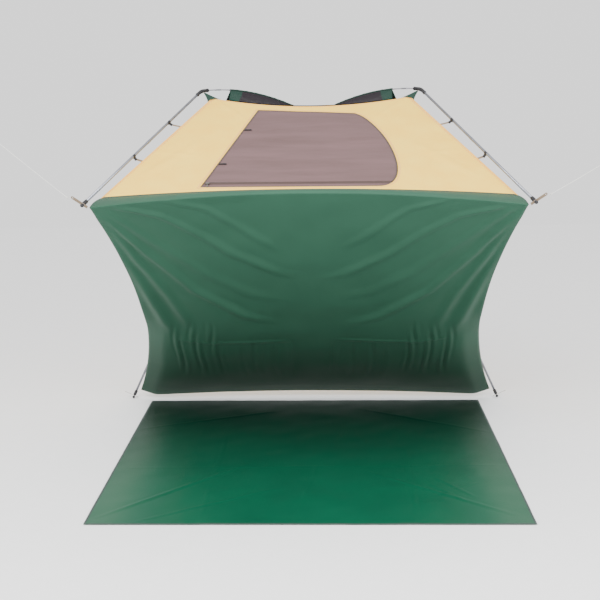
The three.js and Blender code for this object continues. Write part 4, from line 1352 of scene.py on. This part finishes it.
def add_straps(end, side, label):
    """Short webbing straps from each clip's tab to the corner seam of the walls."""
    foot, axis, length = leg_frame(end, side)
    low, high = rim_corner(end, side), cloth_corner(end, side)
    for level, place in CLIPS.items():
        on_leg = foot + axis * length * place
        height = (on_leg - HINGE) @ RISE
        share = (height - (low - HINGE) @ RISE) / ((high - low) @ RISE)
        on_cloth = lerp(low, high, share)
        toward = on_cloth - on_leg
        toward = unit(toward - axis * (toward @ axis))
        line = segment(on_leg + toward * CLIP_TAB, on_cloth, 12)
        strip_piece(f"clip_strap_{level}_{label}", line, unit(np.cross(axis, toward)),
                    band_section(0.016, 0.0014, -0.0004), BROWN_WEBBING, "tent")


def add_corner(end, side, label):
    """A three-pointed gusset with hollow edges between the elbow and the walls' top corner."""
    hub, corner = hub_place(end, side), cloth_corner(end, side)
    ahead = 1 if end == "front" else -1
    tip = lerp(corner, hub, GUSSET_TIP)
    inner = top_corner_point(end, side, GUSSET_ALONG)
    lower = lerp(corner, rim_corner(end, side), GUSSET_DOWN)
    steps = np.linspace(0, 1, GUSSET_CELLS + 1)
    a, b = np.meshgrid(steps, steps)
    middle = lerp(inner, lower, 0.5)
    hollow = GUSSET_HOLLOW * bow(a)[..., None] * (tip - middle)
    pinch = lerp(1.0, GUSSET_PINCH, b ** 0.7)[..., None]
    spread = (lerp(inner, lower, a[..., None]) - middle) * pinch
    points = middle + spread + (tip - middle) * b[..., None] + hollow * (1 - b)[..., None]
    points = points + ahead * GUSSET_AHEAD * ALONG
    uvs = np.stack([a * 0.1, b * 0.1], -1)
    patch = sheet_mesh(f"corner_patch_{label}_cloth", points, uvs, PATCH_GREEN, GUSSET_THICK)
    on_body(patch, "tent", [f"corner_patch_{label}"])
    strap_line = segment(*(lerp(corner, hub, share) for share in GUSSET_STRAP), 8)
    facing = unit(np.cross(pole_direction(end, side), hub - corner))
    strap = strip_piece(f"corner_strap_{label}", strap_line, facing, band_section(0.010, 0.0014),
                        BROWN_WEBBING, "tent")


def top_corner_point(end, side, distance):
    """A place on the front or rear wall's top edge, this far from its corner."""
    share = distance / (2 * CLOTH_TOP_X)
    return top_edge((end, side), (end, -side), np.array(share))


add_poles()
for corner_end, corner_side, side_name in CORNERS:
    corner_label = f"{corner_end}_{side_name}"
    for add_part in (add_leg, add_elbow, add_sleeve, add_straps, add_piping, add_corner):
        add_part(corner_end, corner_side, corner_label)

# ---- Roof ----

PANEL_DROP = 0.021
PANEL_EDGE = 0.0065
PANEL_START = 0.13
PANEL_END = 0.485
PANEL_OFF_WALL = 0.005
PANEL_CORNER = 0.085
SIDE_PANEL_CORNER = 0.24
PANEL_CELLS = 48
BORDER_CELLS = 6
POLE_BLEND = 0.12
ROOF = {
    "roof_front": (("front", -1), ("front", 1)),
    "roof_right": (("front", 1), ("rear", 1)),
    "roof_rear": (("rear", 1), ("rear", -1)),
    "roof_left": (("rear", -1), ("front", -1)),
}


def panel_corner(corner, other):
    """The share of a wall's top edge that a roof panel leaves free beside a corner."""
    return SIDE_PANEL_CORNER if (corner[0], other[0]) == ("front", "rear") else PANEL_CORNER


def roof_panel(first, second, u, w):
    """A panel from a wall's top edge (w = 0) up between two poles towards the peak (w = 1)."""
    edge_middle = (top_edge(first, second, np.array(0.5)) - HINGE) @ RISE
    peak = (arc_from(*first, 0.5) - HINGE) @ RISE - PANEL_DROP
    t = lerp(PANEL_START, PANEL_END, np.clip(w, 0, 1))
    a, b = arc_from(*first, t), arc_from(*second, t)
    margin = PANEL_EDGE / np.linalg.norm(b - a, axis=-1)
    place = lerp(a, b, lerp(margin, 1 - margin, u)[..., None])
    at_poles = (place - HINGE) @ RISE - PANEL_DROP
    sag = at_poles - lerp(edge_middle, peak, 2 * t)
    beside_pole = smooth(np.minimum(u, 1 - u) / POLE_BLEND)
    drop = lerp(SLEEVE_RADIUS / 2, PANEL_DROP, beside_pole)
    upper = place - (drop + sag * bow(u))[..., None] * RISE
    start, end = panel_corner(first, second), 1 - panel_corner(second, first)
    border = top_edge(first, second, lerp(start, end, u)) + PANEL_OFF_WALL * RISE
    return upper, border


def add_roof():
    for name, (first, second) in ROOF.items():
        border_share = np.linspace(0, 1, BORDER_CELLS + 1)[:-1]
        steps = np.linspace(0, 1, PANEL_CELLS + 1)
        u, w = np.meshgrid(steps, np.concatenate([np.zeros(BORDER_CELLS), steps]))
        _, near = np.meshgrid(steps, np.concatenate([border_share, np.ones(PANEL_CELLS + 1)]))
        upper, border = roof_panel(first, second, u, w)
        points = lerp(border, upper, near[..., None])
        ends = top_edge(first, second, np.array([0.0, 1.0]))
        along_edge = (points - ends.mean(0)) @ unit(ends[1] - ends[0])
        uvs = np.stack([along_edge, w + 0.2 * near], -1)
        panel = sheet_mesh(f"{name}_mesh", points, uvs, ROOF_MESH, MESH_THICK)
        on_body(panel, "tent", [name])


add_roof()

# ---- Small fittings ----

EYELET_PLACE = 0.014
EYELET_RADIUS = 0.0082
EYELET_WIRE = 0.0011
EYELET_HALF_GAP = 0.0012
TOGGLE_LOOP = 0.0066
TOGGLE_CORD = 0.0009
TOGGLES = {"lower": 0.27, "upper": 0.71}


def circle_line(place, axis, radius, count=40):
    axis = unit(np.asarray(axis, float))
    right = side_of(axis)
    up = np.cross(axis, right)
    angles = round_angles(count)
    return place + radius * (np.cos(angles)[:, None] * right + np.sin(angles)[:, None] * up)


def add_eyelets():
    """A pressed metal ring on both faces of each foot's webbing."""
    for end, side, name in CORNERS:
        foot, axis, _ = leg_frame(end, side)
        for k, offset in enumerate((-EYELET_HALF_GAP, EYELET_HALF_GAP)):
            line = circle_line(foot + axis * (EYELET_PLACE + offset), axis, EYELET_RADIUS)
            strip_piece(f"eyelet_{end}_{name}_{k + 1}", line, axis, ring_section(EYELET_WIRE, 8),
                        FERRULE, "tent", True)


def add_toggle_loops():
    """The cord loop and tab that tie each toggle to the door's hinge side."""
    for level, place in TOGGLES.items():
        low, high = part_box(f"door_toggle_{level}")
        line = circle_line(np.array((low + high) / 2), ACROSS, TOGGLE_LOOP, 24)
        strip_piece(f"toggle_loop_{level}", line, ACROSS, ring_section(TOGGLE_CORD, 8), BROWN_CORD,
                    f"toggle_{level}", True)
        x, along = lerp(np.array(DOOR_FOOT), np.array(DOOR_HEAD), place)
        tab = segment(front(x + 0.006, along, 0.0026), front(x + 0.020, along, 0.0030), 6)
        strip_piece(f"toggle_tab_{level}", tab, FRONT_OUT, band_section(0.010, 0.0010), BINDING,
                    "door")


add_eyelets()
add_toggle_loops()

# ---- CAD pieces that keep their shape ----


def dress(node, look):
    piece = bpy.data.objects[node]
    piece.data.materials.clear()
    piece.data.materials.append(look)


for corner_end, _, side_name in CORNERS:
    corner_label = f"{corner_end}_{side_name}"
    for level_name in CLIPS:
        dress(f"clip_{level_name}_{corner_label}", PLASTIC)
    dress(f"webbing_{corner_label}", BROWN_WEBBING if corner_end == "front" else GREY_WEBBING)
for node_name in ("zip_slider", "zip_pull"):
    dress(node_name, ZIP_METAL)
for node_name in ("door_toggle_lower", "door_toggle_upper"):
    dress(node_name, PLASTIC)

# ---- Studio ----

STAGE_REACH = 14.0
STAGE_LEVEL = -0.002
WORLD_LIGHT = 1.45
KEY = {"place": (-2.5, -6.0, 6.5), "size": 5.0, "power": 720}
FILL = {"place": (3.5, -5.0, 4.5), "size": 4.0, "power": 280}


def add_light(name, place, size, power, target=(0, 0, 1.1)):
    data = bpy.data.lights.new(name, "AREA")
    data.shape = "DISK"
    data.size = size
    data.energy = power
    light = bpy.data.objects.new(name, data)
    light.location = place
    light.rotation_euler = (Vector(target) - Vector(place)).to_track_quat("-Z", "Y").to_euler()
    bpy.context.collection.objects.link(light)


def add_studio():
    world = bpy.data.worlds.new("studio")
    world.use_nodes = True
    background = world.node_tree.nodes["Background"]
    background.inputs["Color"].default_value = (1, 1, 1, 1)
    background.inputs["Strength"].default_value = WORLD_LIGHT
    bpy.context.scene.world = world
    r, z = STAGE_REACH, STAGE_LEVEL
    corners = np.array([(-r, -r, z), (r, -r, z), (r, r, z), (-r, r, z)], float)
    floor = mesh_object("studio_floor", corners, [[0, 1, 2, 3]], corners[:, :2], STAGE)
    add_light("key", **KEY)
    add_light("fill", **FILL)


add_studio()

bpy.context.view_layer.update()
